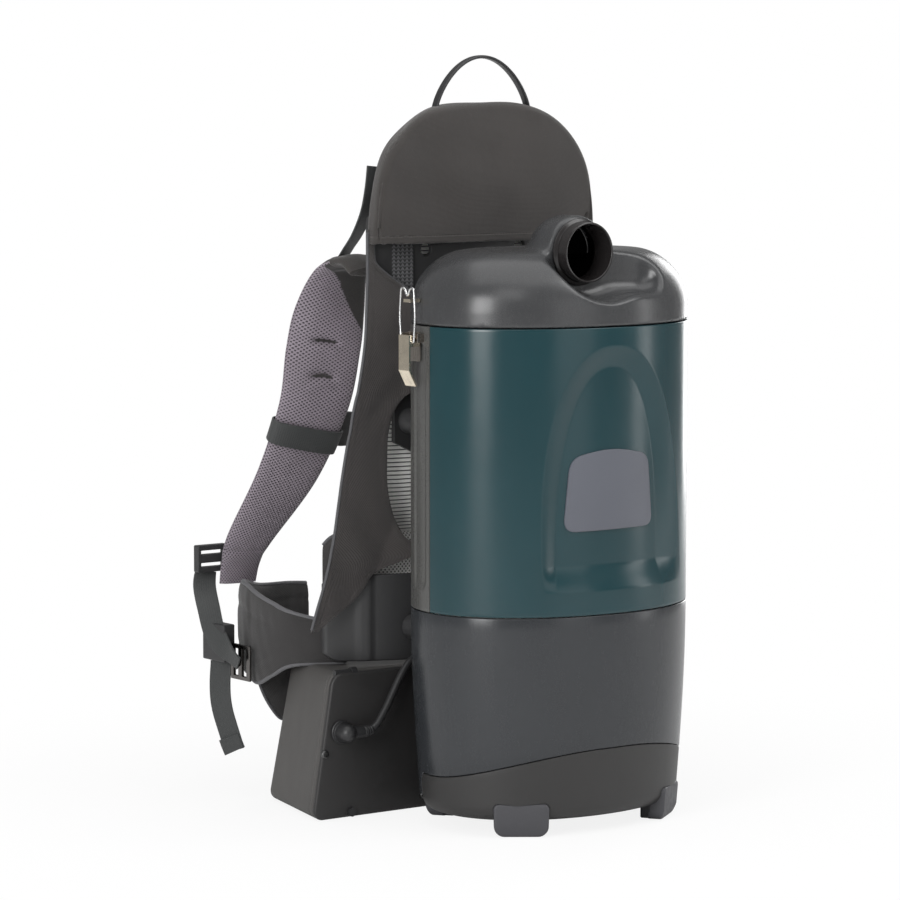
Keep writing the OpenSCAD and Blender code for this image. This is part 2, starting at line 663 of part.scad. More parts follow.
// Stations of the left shoulder pad: from the back plate, over the shoulder and down to the hip
pad_path = [
    [-112, 134, 506, -1, 0, 0, 52, 10], [-115, 150, 516, -1, 0, 0, 62, 12], [-119, 172, 505, -1, 0.05, 0, 70, 14],
    [-122, 183, 468, -0.98, 0.2, 0, 74, 14], [-127, 188, 430, -0.94, 0.3, 0, 76, 14],
    [-132, 198, 378, -0.93, 0.3, 0, 74, 14], [-140, 229, 312, -0.95, 0.2, 0.1, 68, 14],
    [-157, 270, 247, -0.97, 0.1, 0.15, 58, 14], [-159, 284, 222, -0.98, 0.1, 0, 44, 10], [-157, 291, 201, -1, 0.1, 0, 40, 8]];
pad_full = 14;                   // thickness for which the stations are written

module shoulder_pad() padded_band([for (s = pad_path)
    [s[0], s[1], s[2], s[3], s[4], s[5], s[6], s[7] * pad_t / pad_full]], 3);

module shoulder_pad_left() color("#8c8090") at_canister() shoulder_pad();
module shoulder_pad_right() color("#8c8090") at_canister() on_side(true) shoulder_pad();

module load_lifters() color("dimgray") at_canister() both_sides()
    webbing([[-106, 128.2, 604], [-108, 129.4, 584], [-113, 133.6, 562], [-119, 143.6, 541], [-121, 155.6, 525.6]], [1, 0, 0], 22);

// The band round each pad, between two sections of the pad's own path
band_low = 0.3;
band_high = 0.62;
function pad_at(s) = mix(pad_path[5], pad_path[6], s);
function band_ring(s, grow) = let (p = pad_at(s), way = unit(place_of(pad_path[6]) - place_of(pad_path[5])),
    v = unit(cross(way, side_of(p))), u = cross(v, way))
    [for (k = [0 : 11]) let (t = 30 * (k + 0.5)) place_of(p)
        + u * (p[6] / 2 + grow) * spow(cos(t), 0.6) + v * (p[7] * pad_t / pad_full / 2 + grow) * spow(sin(t), 0.6)];

module sternum_bands() color("black") at_canister() both_sides()
    loft([band_ring(band_low, 2.2), band_ring(band_low, 3.8), band_ring(band_high, 3.8), band_ring(band_high, 2.2)], true);

slider = [20, 10, 32];
slider_at = [-85.6, 209, 352];

module sternum_sliders() color("black") at_canister() both_sides() translate(slider_at) cube(slider, center = true);

module sternum_strap() color("black") at_canister() {
    x = -slider_at.x - slider.x / 2 - 4 * gap;
    sag = [for (t = [-1 : 0.25 : 1]) let (s = (1 - t * t) * (1 - t * t))
        [x * t, slider_at.y + 4 * s, slider_at.z - 7 * s]];
    webbing(sag, [0, 0, 1], 20, webbing_t, 1);
}

lock_at = [-181, 297.3, 226];
lock = [34, 8, 26];

module ladder_locks() color("black") at_canister() both_sides() translate(lock_at) difference() {
    cube(lock, center = true);
    for (s = [-1, 1]) translate([0, 0, s * 6]) cube([lock.x - 8, lock.y + 2, 4], center = true);
}

// Places of the lower strap from its lock to the belt, each with the lean of its width away from +Y
lower_w = 22;
lower_path = [
    [-187, 303, 211, 0.75], [-190, 302.6, 197, 0.58], [-201, 290, 176, 0.2], [-204, 270, 157, 0],
    [-198, 250, 142, 0], [-188.7, 238, 131, 0]];

module lower_straps() color("#3a3c3c") at_canister() both_sides()
    loft(band_rings(smooth([for (e = lower_path)
        station([e[0], e[1], e[2]], [e[3], 1, 0] / norm([e[3], 1]), lower_w * sqrt(2), webbing_t * sqrt(2))], 3), 4, 1));

// ---- hip belt ---------------------------------------------------------------------------------

belt_path = [
    [-124, 149, 153, 0, 0, 1, 24, 9], [-163.5, 180.6, 160.6, 0, 0, 1, 39, 11], [-173, 203.2, 138.6, 0, 0, 1, 99, 12],
    [-175.3, 226, 136, 0, 0, 1, 126, 12], [-175.3, 248, 149, 0, 0, 1, 104, 12], [-160, 276, 160, 0, 0, 1, 68, 12],
    [-124, 298, 160, 0, 0, 1, 66, 12], [-86, 306, 163, 0, 0, 1, 60, 9]];

module belt_wing_left() color("#45474a") at_canister() padded_band(belt_path, 3);
module belt_wing_right() color("#45474a") at_canister() on_side(true) padded_band(belt_path, 3);

glide_at = [-185.3, 239, 132];

module belt_glides() color("silver") at_canister() both_sides() translate(glide_at) difference() {
    cube([3, 32, 34], center = true);
    for (s = [-1, 1]) translate([0, s * 7, 0]) cube([5, 8, 26], center = true);
}

module belt_straps() color("#3a3c3c") at_canister() both_sides()
    webbing([[-187, 272, 129.4], [-188, 271, 108], [-188, 267, 80], [-181, 257, 44]], [0, 1, 0], 24);

buckle_at = [-187, 275.2, 148];

module waist_buckle_socket() color("black") at_canister() translate(buckle_at) difference() {
    cube([12, 38, 36], center = true);
    translate([0, 8, 0]) cube([7, 30, 28], center = true);
}

module waist_buckle_clip() color("black") at_canister() on_side(true) translate(buckle_at) {
    translate([0, -12, 0]) cube([9, 14, 36], center = true);
    for (s = [-1, 1]) translate([0, 6, s * 10]) cube([5, 24, 5], center = true);
}

// ---- battery box ------------------------------------------------------------------------------

box_y = b - 0.6;                 // front of the box, just behind the housing
box_narrow = 23;                 // how much further in each side is at the top of the front
box_rear_in = 31;                // how much further in each side is at the bottom of the rear
box_lean = 21;                   // how much further forward the rear is at its top
cover_t = 6;
tub_front = (cover_t + gap) / box_d;

// Half width of the box at a share f of its height and a share s of its depth
function box_half(f, s) = mix(mix(box_w / 2, box_w / 2 - box_narrow, f),
    mix(box_w / 2 - box_rear_in, box_w / 2 - box_narrow - box_rear_in + 8, f), s);
function box_rear(f, s) = box_y + s * box_d - max(0, s - tub_front) * box_lean * f;
function box_ring(s, t) = let (c = 0.09, f = [t / box_h, t / box_h + c, 1 - c - t / box_h, 1 - t / box_h],
    r = 10, h = [for (k = f) box_half(k, s) - t])
    [[-h[0] + r, box_rear(f[0], s), f[0] * box_h], [h[0] - r, box_rear(f[0], s), f[0] * box_h],
     [h[1], box_rear(f[1], s), f[1] * box_h], [h[2], box_rear(f[2], s), f[2] * box_h],
     [h[3] - r, box_rear(f[3], s), f[3] * box_h], [-h[3] + r, box_rear(f[3], s), f[3] * box_h],
     [-h[2], box_rear(f[2], s), f[2] * box_h], [-h[1], box_rear(f[1], s), f[1] * box_h]];

module battery_tub() color("#464442") at_canister() loft([
    box_ring(1, 6), box_ring(0.95, 0), box_ring(tub_front, 0),
    box_ring(tub_front, shell_t), box_ring(0.95, shell_t), box_ring(0.96, 6 + shell_t)]);

plug_at = [-box_w / 2 + 31, box_h * 0.6];
switch_at = [box_w / 2 - 46, 92];
switch_size = [14, 22];
cover_screw_at = [[-box_w / 2 + 13, 62], [box_w / 2 - 13, 62], [-70, 12], [70, 12], [-70, box_h - 12], [70, box_h - 12]];

module battery_cover() color("#3c3b3a") at_canister() difference() {
    translate([0, box_y + cover_t, 0]) rotate([90, 0, 0]) linear_extrude(cover_t)
        polygon([for (p = box_ring(tub_front, 0)) [p.x, p.z]]);
    bar_y(plug_at.x, box_y - 1, box_y + cover_t + 1, plug_at.y, 8 + gap);
    for (p = cover_screw_at) bar_y(p.x, box_y - 1, box_y + cover_t + 1, p.y, 1.6 + gap);
    block([switch_at.x - switch_size.x / 2 - gap, box_y - 1, switch_at.y - switch_size.y / 2 - gap],
        [switch_at.x + switch_size.x / 2 + gap, box_y + cover_t + 1, switch_at.y + switch_size.y / 2 + gap]);
    bar_x(switch_at.x - switch_size.x / 2 - 3, switch_at.x + switch_size.x / 2 + 3, box_y + cover_t / 2, switch_at.y, 1.5 + run);
}

module cover_screws() color("black") at_canister() for (p = cover_screw_at) {
    bar_y(p.x, box_y - gap / 6, box_y + cover_t - 0.5, p.y, 1.6);
    bar_y(p.x, box_y - 2.5, box_y - gap / 6, p.y, 4);
}

pack_reach = box_w / 2 - 68;     // outer side of each battery pack
pack_between = 8;                // half the space between them

module battery_packs() color("green") at_canister() both_sides()
    block([pack_between, box_y + cover_t + 12, shell_t + gap], [pack_reach, box_y + box_d - box_lean - 8, box_h - 24]);

rocker_tilt = 6;

module switch_rocker() color("firebrick") at_canister()
    translate([switch_at.x, box_y + cover_t / 2, switch_at.y]) rotate([rocker_tilt, 0, 0]) {
        translate([0, -2, 0]) cube([switch_size.x - 2 * gap, 9, switch_size.y - 2.6], center = true);
        bar_x(-switch_size.x / 2 - 2.7, switch_size.x / 2 + 2.7, 0, 0, 1.5);
    }

// ---- power cable --------------------------------------------------------------------------------

gland_at = [-50, 101, 146];
gland = [16, 11, 13];

module cable_plug() color("black") at_canister() {
    bar_y(plug_at.x, box_y - 3, box_y - gap, plug_at.y, 11);
    bar_y(plug_at.x, box_y - gap - 1, box_y + cover_t + 4, plug_at.y, 8);
    bar_y(plug_at.x, box_y - 12, box_y - 3, plug_at.y, 8.5);
    translate([plug_at.x, box_y - 12, plug_at.y]) sphere(r = 8.5);
    bar_x(plug_at.x, plug_at.x + 15, box_y - 12, plug_at.y, 5.6);
}

// The cable's route, measured from where it leaves the plug and ending on the gland
cable_points = [[-149.6, 91.4, 81.6], [-144, 91.4, 81.6], [-138, 91.4, 83], [-132, 91, 87], [-126, 92, 94], [-119, 93, 103],
    [-112, 94.5, 113], [-105, 96, 123], [-97, 97.5, 133], [-88, 99.5, 141], [-78, 101, 145], [-68, 101, 146], [-58.2, 101, 146]];

module power_cable() color("black") at_canister()
    loft(band_rings(smooth([for (p = cable_points) station(p, [0, 1, 0], cable_d, cable_d)], 2), 10, 1));

module cable_gland() color("black") at_canister() difference() {
    translate(gland_at) cube(gland, center = true);
    canister_space(gland_at.z - 12, gland_at.z + 12);
}

motor_housing();
base_cap();
feet();
filter_chamber();
front_cover();
badge_plate();
chamber_floor();
motor_gasket();
motor_case();
motor_bearings();
stator();
armature();
fan_wheel();
exhaust_filter();
cloth_filter();
paper_bag();
bag_collar();
lid();
lid_seal();
hose_port();
inlet_elbow();
lid_catches();
latch_bases();
latch_lever_left();
latch_lever_right();
latch_bail_left();
latch_bail_right();
back_plate();
lumbar_shell();
standoffs();
plate_screws();
torso_straps();
back_pad();
lumbar_pad();
hood();
carry_handle();
side_panel_left();
side_panel_right();
shoulder_pad_left();
shoulder_pad_right();
load_lifters();
sternum_bands();
sternum_sliders();
sternum_strap();
ladder_locks();
lower_straps();
belt_wing_left();
belt_wing_right();
belt_glides();
belt_straps();
waist_buckle_socket();
waist_buckle_clip();
battery_tub();
battery_cover();
battery_packs();
cover_screws();
cable_plug();
cable_gland();
power_cable();
switch_rocker();
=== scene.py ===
"""Looks of the backpack vacuum cleaner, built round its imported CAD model.

Shapes are written in millimetres in the canister's own frame: its axis is the middle, +X is right
seen from the front, +Y runs back to the wearer and +Z is up. place() turns them into metres in the
model's frame.
"""

import math

import bmesh
import bpy
import numpy as np
from mathutils import Euler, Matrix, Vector

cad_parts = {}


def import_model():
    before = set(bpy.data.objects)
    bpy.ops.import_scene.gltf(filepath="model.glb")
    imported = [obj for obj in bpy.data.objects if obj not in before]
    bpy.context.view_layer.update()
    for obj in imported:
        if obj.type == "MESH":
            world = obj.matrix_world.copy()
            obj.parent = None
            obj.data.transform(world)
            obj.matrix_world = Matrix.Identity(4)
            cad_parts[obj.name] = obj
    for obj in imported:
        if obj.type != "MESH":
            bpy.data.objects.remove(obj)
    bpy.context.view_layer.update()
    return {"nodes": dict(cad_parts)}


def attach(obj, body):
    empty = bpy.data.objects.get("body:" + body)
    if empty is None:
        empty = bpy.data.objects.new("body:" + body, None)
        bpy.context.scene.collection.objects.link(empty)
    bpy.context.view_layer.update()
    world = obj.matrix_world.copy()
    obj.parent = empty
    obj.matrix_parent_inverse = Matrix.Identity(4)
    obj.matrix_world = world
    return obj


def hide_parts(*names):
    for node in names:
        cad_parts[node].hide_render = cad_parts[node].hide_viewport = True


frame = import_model()

AXIS_Y = -103.75  # where the canister's axis lies in the model's frame, in mm
MM = 0.001

# ---- camera ------------------------------------------------------------------------------------

camera = bpy.data.cameras.new("view")
camera.lens = 158.2
camera.sensor_width = 36.0
camera.clip_end = 60.0
viewer = bpy.data.objects.new("view", camera)
viewer.location = (-2.2430, -2.9790, 0.6982)
viewer.rotation_euler = Euler((math.radians(84.434), 0.0, math.radians(-36.508)))
bpy.context.scene.collection.objects.link(viewer)
bpy.context.scene.camera = viewer


# ---- numbers, curves and sections ----------------------------------------------------------------

def place(points):
    """Millimetres in the canister's frame to metres in the model's frame."""
    return (np.asarray(points, float) + (0.0, AXIS_Y, 0.0)) * MM


def spow(value, power):
    """A signed power, which squares up or rounds a circle's sine and cosine."""
    return np.sign(value) * np.abs(value) ** power


def step(value, low, high):
    """0 below low, 1 above high, and a smooth S between."""
    s = np.clip((np.asarray(value, float) - low) / (high - low), 0.0, 1.0)
    return s * s * (3.0 - 2.0 * s)


def mix(p, q, s):
    """From p to q as s goes from 0 to 1."""
    return p + (q - p) * s


def unit(v):
    """Vectors brought to length one along their last axis."""
    return v / np.maximum(np.linalg.norm(v, axis=-1, keepdims=True), 1e-12)


def smooth_run(stations, steps):
    """A Catmull-Rom curve through rows of numbers, with some steps between each two."""
    st = np.asarray(stations, float)
    p = np.vstack([st[:1], st, st[-1:]])
    t = (np.arange(steps) / steps)[None, :, None]
    p0, p1, p2, p3 = (p[k : k + len(st) - 1][:, None, :] for k in range(4))
    run = 0.5 * (2 * p1 + (p2 - p0) * t + (2 * p0 - 5 * p1 + 4 * p2 - p3) * t**2
                 + (3 * p1 - p0 - 3 * p2 + p3) * t**3)
    return np.vstack([run.reshape(-1, st.shape[1]), st[-1:]])


def smooth_min(p, q, k):
    """The lesser of two fields, blended over k millimetres, which gives a fillet."""
    h = np.clip(0.5 + 0.5 * (q - p) / k, 0.0, 1.0)
    return mix(q, p, h) - k * h * (1.0 - h)


def smooth_max(p, q, k):
    """The greater of two fields, blended over k millimetres."""
    return -smooth_min(-p, -q, k)


def corner_distance(p, q):
    """Distance to a quarter plane's rounded corner, from the distances p and q to its two sides."""
    return np.hypot(np.maximum(p, 0), np.maximum(q, 0)) + np.minimum(np.maximum(p, q), 0)


def section(count, power, face_power=None):
    """A superellipse's cosines and sines, each raised to its own power, with no point on its axes."""
    t = 2 * math.pi * (np.arange(count) + 0.5) / count
    return spow(np.cos(t), power), spow(np.sin(t), face_power or power)


def corner_arc(cx, cy, radius, start, count):
    """Points of a quarter circle about (cx, cy) that starts at an angle in degrees."""
    a = np.linspace(0, math.pi / 2, count) + math.radians(start)
    return np.stack([cx + radius * np.cos(a), cy + radius * np.sin(a)], 1)


def bent_corner(p, q, r, cut, steps):
    """A curve that rounds the corner q between p and r, starting and ending at a distance cut from it."""
    a, b = q + unit(p - q) * cut, q + unit(r - q) * cut
    w = np.linspace(0, 1, steps)[:, None]
    return (1 - w) ** 2 * a + 2 * w * (1 - w) * q + w**2 * b


def divided(outline, counts):
    """A closed outline with its k-th side cut into counts(k, p, q) equal parts."""
    dense = []
    for k in range(len(outline)):
        p, q = outline[k], outline[(k + 1) % len(outline)]
        n = counts(k, p, q)
        dense.append(p + (q - p) * (np.arange(n) / n)[:, None])
    return np.vstack(dense)


def ripple(x, y, seed, waves=5):
    """A sum of sine waves in several directions, each finer and weaker, for folds and unevenness."""
    rng = np.random.default_rng(seed)
    total = np.zeros(np.broadcast(x, y).shape)
    for k in range(waves):
        turn, shift, size = rng.uniform(0, math.pi), rng.uniform(0, 2 * math.pi), 1.0 / (1.0 + k)
        total += size * np.sin((x * math.cos(turn) + y * math.sin(turn)) * (1.0 + 0.8 * k) + shift)
    return total


# ---- meshes ----------------------------------------------------------------------------------------

def build(name, points, quads, uv=None, tris=None):
    """A mesh object from arrays of points in mm and of four-cornered and three-cornered faces."""
    mesh = bpy.data.meshes.new(name)
    quads = np.asarray(quads, np.int32).reshape(-1, 4)
    tris = np.zeros((0, 3), np.int32) if tris is None else np.asarray(tris, np.int32).reshape(-1, 3)
    corners = np.concatenate([quads.ravel(), tris.ravel()])
    totals = np.concatenate([np.full(len(quads), 4), np.full(len(tris), 3)]).astype(np.int32)
    mesh.vertices.add(len(points))
    mesh.vertices.foreach_set("co", place(points).astype(np.float32).ravel())
    mesh.loops.add(len(corners))
    mesh.loops.foreach_set("vertex_index", corners)
    mesh.polygons.add(len(totals))
    mesh.polygons.foreach_set("loop_start", (np.cumsum(totals) - totals).astype(np.int32))
    mesh.polygons.foreach_set("loop_total", totals)
    mesh.polygons.foreach_set("use_smooth", np.ones(len(totals), bool))
    if uv is not None:
        layer = mesh.uv_layers.new(name="flat")
        layer.data.foreach_set("uv", np.asarray(uv, np.float32).ravel())
    mesh.update(calc_edges=True)
    mesh.validate()
    piece = bpy.data.objects.new(name, mesh)
    bpy.context.scene.collection.objects.link(piece)
    return piece


def grid(name, rows, looped=False):
    """A closed surface through rows of points, each row anticlockwise seen from ahead, with a fan of
    triangles over each end unless it is looped. The flat map's first number is the way along a row
    and its second the way from row to row, in metres."""
    rows = np.asarray(rows, float)
    m, n, _ = rows.shape
    across = np.linalg.norm(np.diff(rows, axis=1, append=rows[:, :1]), axis=2).mean(0)
    onward = np.linalg.norm(np.diff(rows, axis=0, append=rows[:1]), axis=2).mean(1)
    u = np.concatenate([[0], np.cumsum(across)]) * MM
    v = np.concatenate([[0], np.cumsum(onward)]) * MM
    j, i = np.meshgrid(np.arange(m if looped else m - 1), np.arange(n), indexing="ij")
    j, i = j.ravel(), i.ravel()
    k, l = (i + 1) % n, (j + 1) % m
    quads = np.stack([j * n + i, j * n + k, l * n + k, l * n + i], 1)
    uv = np.stack([np.stack([u[i], u[i + 1], u[i + 1], u[i]], 1),
                   np.stack([v[j], v[j], v[j + 1], v[j + 1]], 1)], 2)
    points, tris, uv = rows.reshape(-1, 3), None, uv.reshape(-1, 2)
    if not looped:
        ends = np.stack([rows[0].mean(0), rows[-1].mean(0)])
        i = np.arange(n)
        k = (i + 1) % n
        first = np.stack([np.full(n, m * n), k, i], 1)
        last = np.stack([np.full(n, m * n + 1), (m - 1) * n + i, (m - 1) * n + k], 1)
        tris = np.vstack([first, last])
        points = np.vstack([points, ends])
        uv = np.vstack([uv, (points[tris.ravel()][:, :2] + points[tris.ravel()][:, 2:]) * MM])
    return build(name, points, quads, uv, tris)


def shell_of(name, field, low, high, pitch):
    """The skin of the solid where field(x, y, z) is below zero. Each cell of a lattice that the skin
    crosses gets one point, the mean of the crossings on its edges, drawn onto the skin by three steps
    down the field's slope. Each lattice edge that the skin crosses gets one square face."""
    low, high = np.asarray(low, float), np.asarray(high, float)
    count = np.ceil((high - low) / pitch).astype(int) + 1
    lines = [low[k] + pitch * np.arange(count[k]) for k in range(3)]
    value = field(*np.meshgrid(*lines, indexing="ij"))
    cells = tuple(count - 1)
    total, hits = np.zeros(cells + (3,)), np.zeros(cells)
    base = np.stack(np.meshgrid(*[np.arange(c) for c in cells], indexing="ij"), -1).astype(float)
    crossed = []
    for axis in range(3):
        first = np.take(value, np.arange(count[axis] - 1), axis)
        second = np.take(value, np.arange(1, count[axis]), axis)
        cross = (first < 0) != (second < 0)
        share = np.where(cross, first / np.where(cross, first - second, 1.0), 0.0)
        crossed.append((cross, first < 0))
        others = [k for k in range(3) if k != axis]
        for p in (0, 1):
            for q in (0, 1):
                cut = [slice(None)] * 3
                cut[others[0]] = slice(p, cells[others[0]] + p)
                cut[others[1]] = slice(q, cells[others[1]] + q)
                on, part = cross[tuple(cut)], share[tuple(cut)]
                offset = np.zeros(cells + (3,))
                offset[..., axis] = part
                offset[..., others[0]] = p
                offset[..., others[1]] = q
                total += np.where(on[..., None], base + offset, 0.0)
                hits += on
    used = hits > 0
    number = np.full(cells, -1)
    number[used] = np.arange(used.sum())
    points = low + pitch * total[used] / hits[used][:, None]
    for _ in range(3):
        here = field(*points.T)
        slope = np.stack([(field(*(points + d).T) - field(*(points - d).T)) / 0.1
                          for d in 0.05 * np.eye(3)], 1)
        points = points - np.clip(here / np.maximum((slope**2).sum(1), 0.2), -0.7, 0.7)[:, None] * slope
    faces = []
    for axis in range(3):
        cross, inside = crossed[axis]
        others = [k for k in range(3) if k != axis]
        index = np.argwhere(cross)
        keep = np.all([(index[:, o] > 0) & (index[:, o] < count[o] - 1) for o in others], axis=0)
        index = index[keep]
        turn = inside[tuple(index.T)] ^ (axis == 1)
        ring = []
        for p, q in ((1, 1), (0, 1), (0, 0), (1, 0)):
            cell = index.copy()
            cell[:, others[0]] -= p
            cell[:, others[1]] -= q
            ring.append(number[tuple(cell.T)])
        square = np.stack(ring, 1)
        faces.append(np.where(turn[:, None], square, square[:, ::-1]))
    return build(name, points, np.vstack(faces))


def clean(piece, angle=None, recalc=True):
    """Merges doubles, turns faces outwards and, with an angle, shades edges sharper than it as edges."""
    bm = bmesh.new()
    bm.from_mesh(piece.data)
    bmesh.ops.remove_doubles(bm, verts=bm.verts, dist=1e-5)
    if recalc:
        bmesh.ops.recalc_face_normals(bm, faces=bm.faces)
    if angle is not None:
        for face in bm.faces:
            face.smooth = True
        for edge in bm.edges:
            edge.smooth = len(edge.link_faces) == 2 and edge.calc_face_angle(0.0) < math.radians(angle)
    bm.to_mesh(piece.data)
    bm.free()
    return piece


def settle(piece):
    """Applies the piece's modifiers to its mesh."""
    seen = piece.evaluated_get(bpy.context.evaluated_depsgraph_get())
    mesh = bpy.data.meshes.new_from_object(seen)
    piece.modifiers.clear()
    piece.data = mesh
    return piece


def cut_out(piece, *tools):
    """Takes the tools' solids out of the piece, then removes them."""
    for tool in tools:
        cut = piece.modifiers.new("cut", "BOOLEAN")
        cut.object, cut.operation, cut.solver = tool, "DIFFERENCE", "EXACT"
    settle(piece)
    for tool in tools:
        bpy.data.objects.remove(tool)
    return piece


def from_cad(node, angle, width):
    """A merged copy of a CAD node, smooth over its round faces, with a live bevel of width millimetres
    on the edges sharper than angle, which keeps its flats flat."""
    piece = bpy.data.objects.new(node + "_look", frame["nodes"][node].data.copy())
    bpy.context.scene.collection.objects.link(piece)
    piece.data.materials.clear()
    clean(piece, angle)
    edge = piece.modifiers.new("edge", "BEVEL")
    edge.width, edge.segments, edge.limit_method = width * MM, 2, "ANGLE"
    edge.angle_limit = math.radians(angle)
    edge.harden_normals = True
    return piece


# ---- sections carried along paths --------------------------------------------------------------------

def rails(path, side):
    """The two directions of a section square to a path: across, and out of its face."""
    way = unit(np.gradient(path, axis=0))
    out = unit(np.cross(way, side))
    return np.cross(out, way), out


def band_rows(path, side, width, thick, count=20, power=0.22):
    """Rows of a band: a superellipse of the given width and thickness, square to the path. A low power
    gives flat webbing, a rectangle with lightly rounded corners."""
    across, out = rails(path, side)
    c, s = section(count, power)
    return (path[:, None, :] + across[:, None, :] * width / 2 * c[None, :, None]
            + out[:, None, :] * thick / 2 * s[None, :, None])


def tube_rows(path, radius, count=16):
    """Rows of a round tube along a path, with a section frame carried on from ring to ring."""
    path = np.asarray(path, float)
    way = unit(np.gradient(path, axis=0))
    side = np.cross(way[0], (0.3, 0.5, 0.8))
    sides = []
    for w in way:
        side = unit(side - w * (side @ w))
        sides.append(side)
    sides = np.array(sides)
    up = np.cross(way, sides)
    t = 2 * math.pi * np.arange(count) / count
    radius = np.broadcast_to(np.asarray(radius, float), (len(path),)).reshape(-1, 1, 1)
    return path[:, None, :] + radius * (sides[:, None, :] * np.cos(t)[None, :, None]
                                        + up[:, None, :] * np.sin(t)[None, :, None])


def turned(profile, centre, axis, count=96):
    """Rows of a solid of revolution about a line through centre along axis "x", "y" or "z". The
    profile is rows of (way along the axis, radius), and each becomes a ring."""
    profile = np.asarray(profile, float)
    t = 2 * math.pi * np.arange(count) / count
    c, s = np.cos(t)[None, :], np.sin(t)[None, :]
    along, r = profile[:, :1] + 0 * c, profile[:, 1:2]
    order = {"x": (along, r * c, r * s), "y": (r * s, along, r * c), "z": (r * c, r * s, along)}[axis]
    return np.stack(order, -1) + np.asarray(centre, float)


CORNERS = ((1, 1, 0), (-1, 1, 90), (-1, -1, 180), (1, -1, 270))  # signs, and where each arc starts


def rounded_slab(outline, low, high, radius, axis):
    """Rows of a slab between low and high along an axis, whose outline draws in over a quarter
    circle at each face. The outline is anticlockwise seen from the high side."""
    outline = np.asarray(outline, float)
    way = unit(np.roll(outline, -1, 0) - np.roll(outline, 1, 0))
    outward = np.stack([way[:, 1], -way[:, 0]], 1)
    a = np.linspace(0, math.pi / 2, 5)
    levels = [(low + radius * (1 - math.sin(k)), radius * (1 - math.cos(k))) for k in a[::-1]]
    levels += [(high - radius * (1 - math.sin(k)), radius * (1 - math.cos(k))) for k in a]
    rows = []
    for level, inset in levels:
        flat = outline - outward * inset
        p, q, w = flat[:, 0], flat[:, 1], np.full(len(flat), level)
        rows.append(np.stack({"z": (p, q, w), "x": (w, p, q), "y": (q, w, p)}[axis], 1))
    return np.array(rows)


def rounded_box(centre, size, corner, radius, axis):
    """Rows of a box with round corners in the plane square to an axis, and rounded face edges."""
    order = {"z": (0, 1, 2), "x": (1, 2, 0), "y": (2, 0, 1)}[axis]
    half = np.array([size[order[0]], size[order[1]]]) / 2 - corner
    outline = np.vstack([corner_arc(sx * half[0], sy * half[1], corner, start, 8) for sx, sy, start in CORNERS])
    outline = outline + (centre[order[0]], centre[order[1]])
    mid, reach = centre[order[2]], size[order[2]] / 2
    return rounded_slab(outline, mid - reach, mid + reach, radius, axis)


# ---- materials ---------------------------------------------------------------------------------------

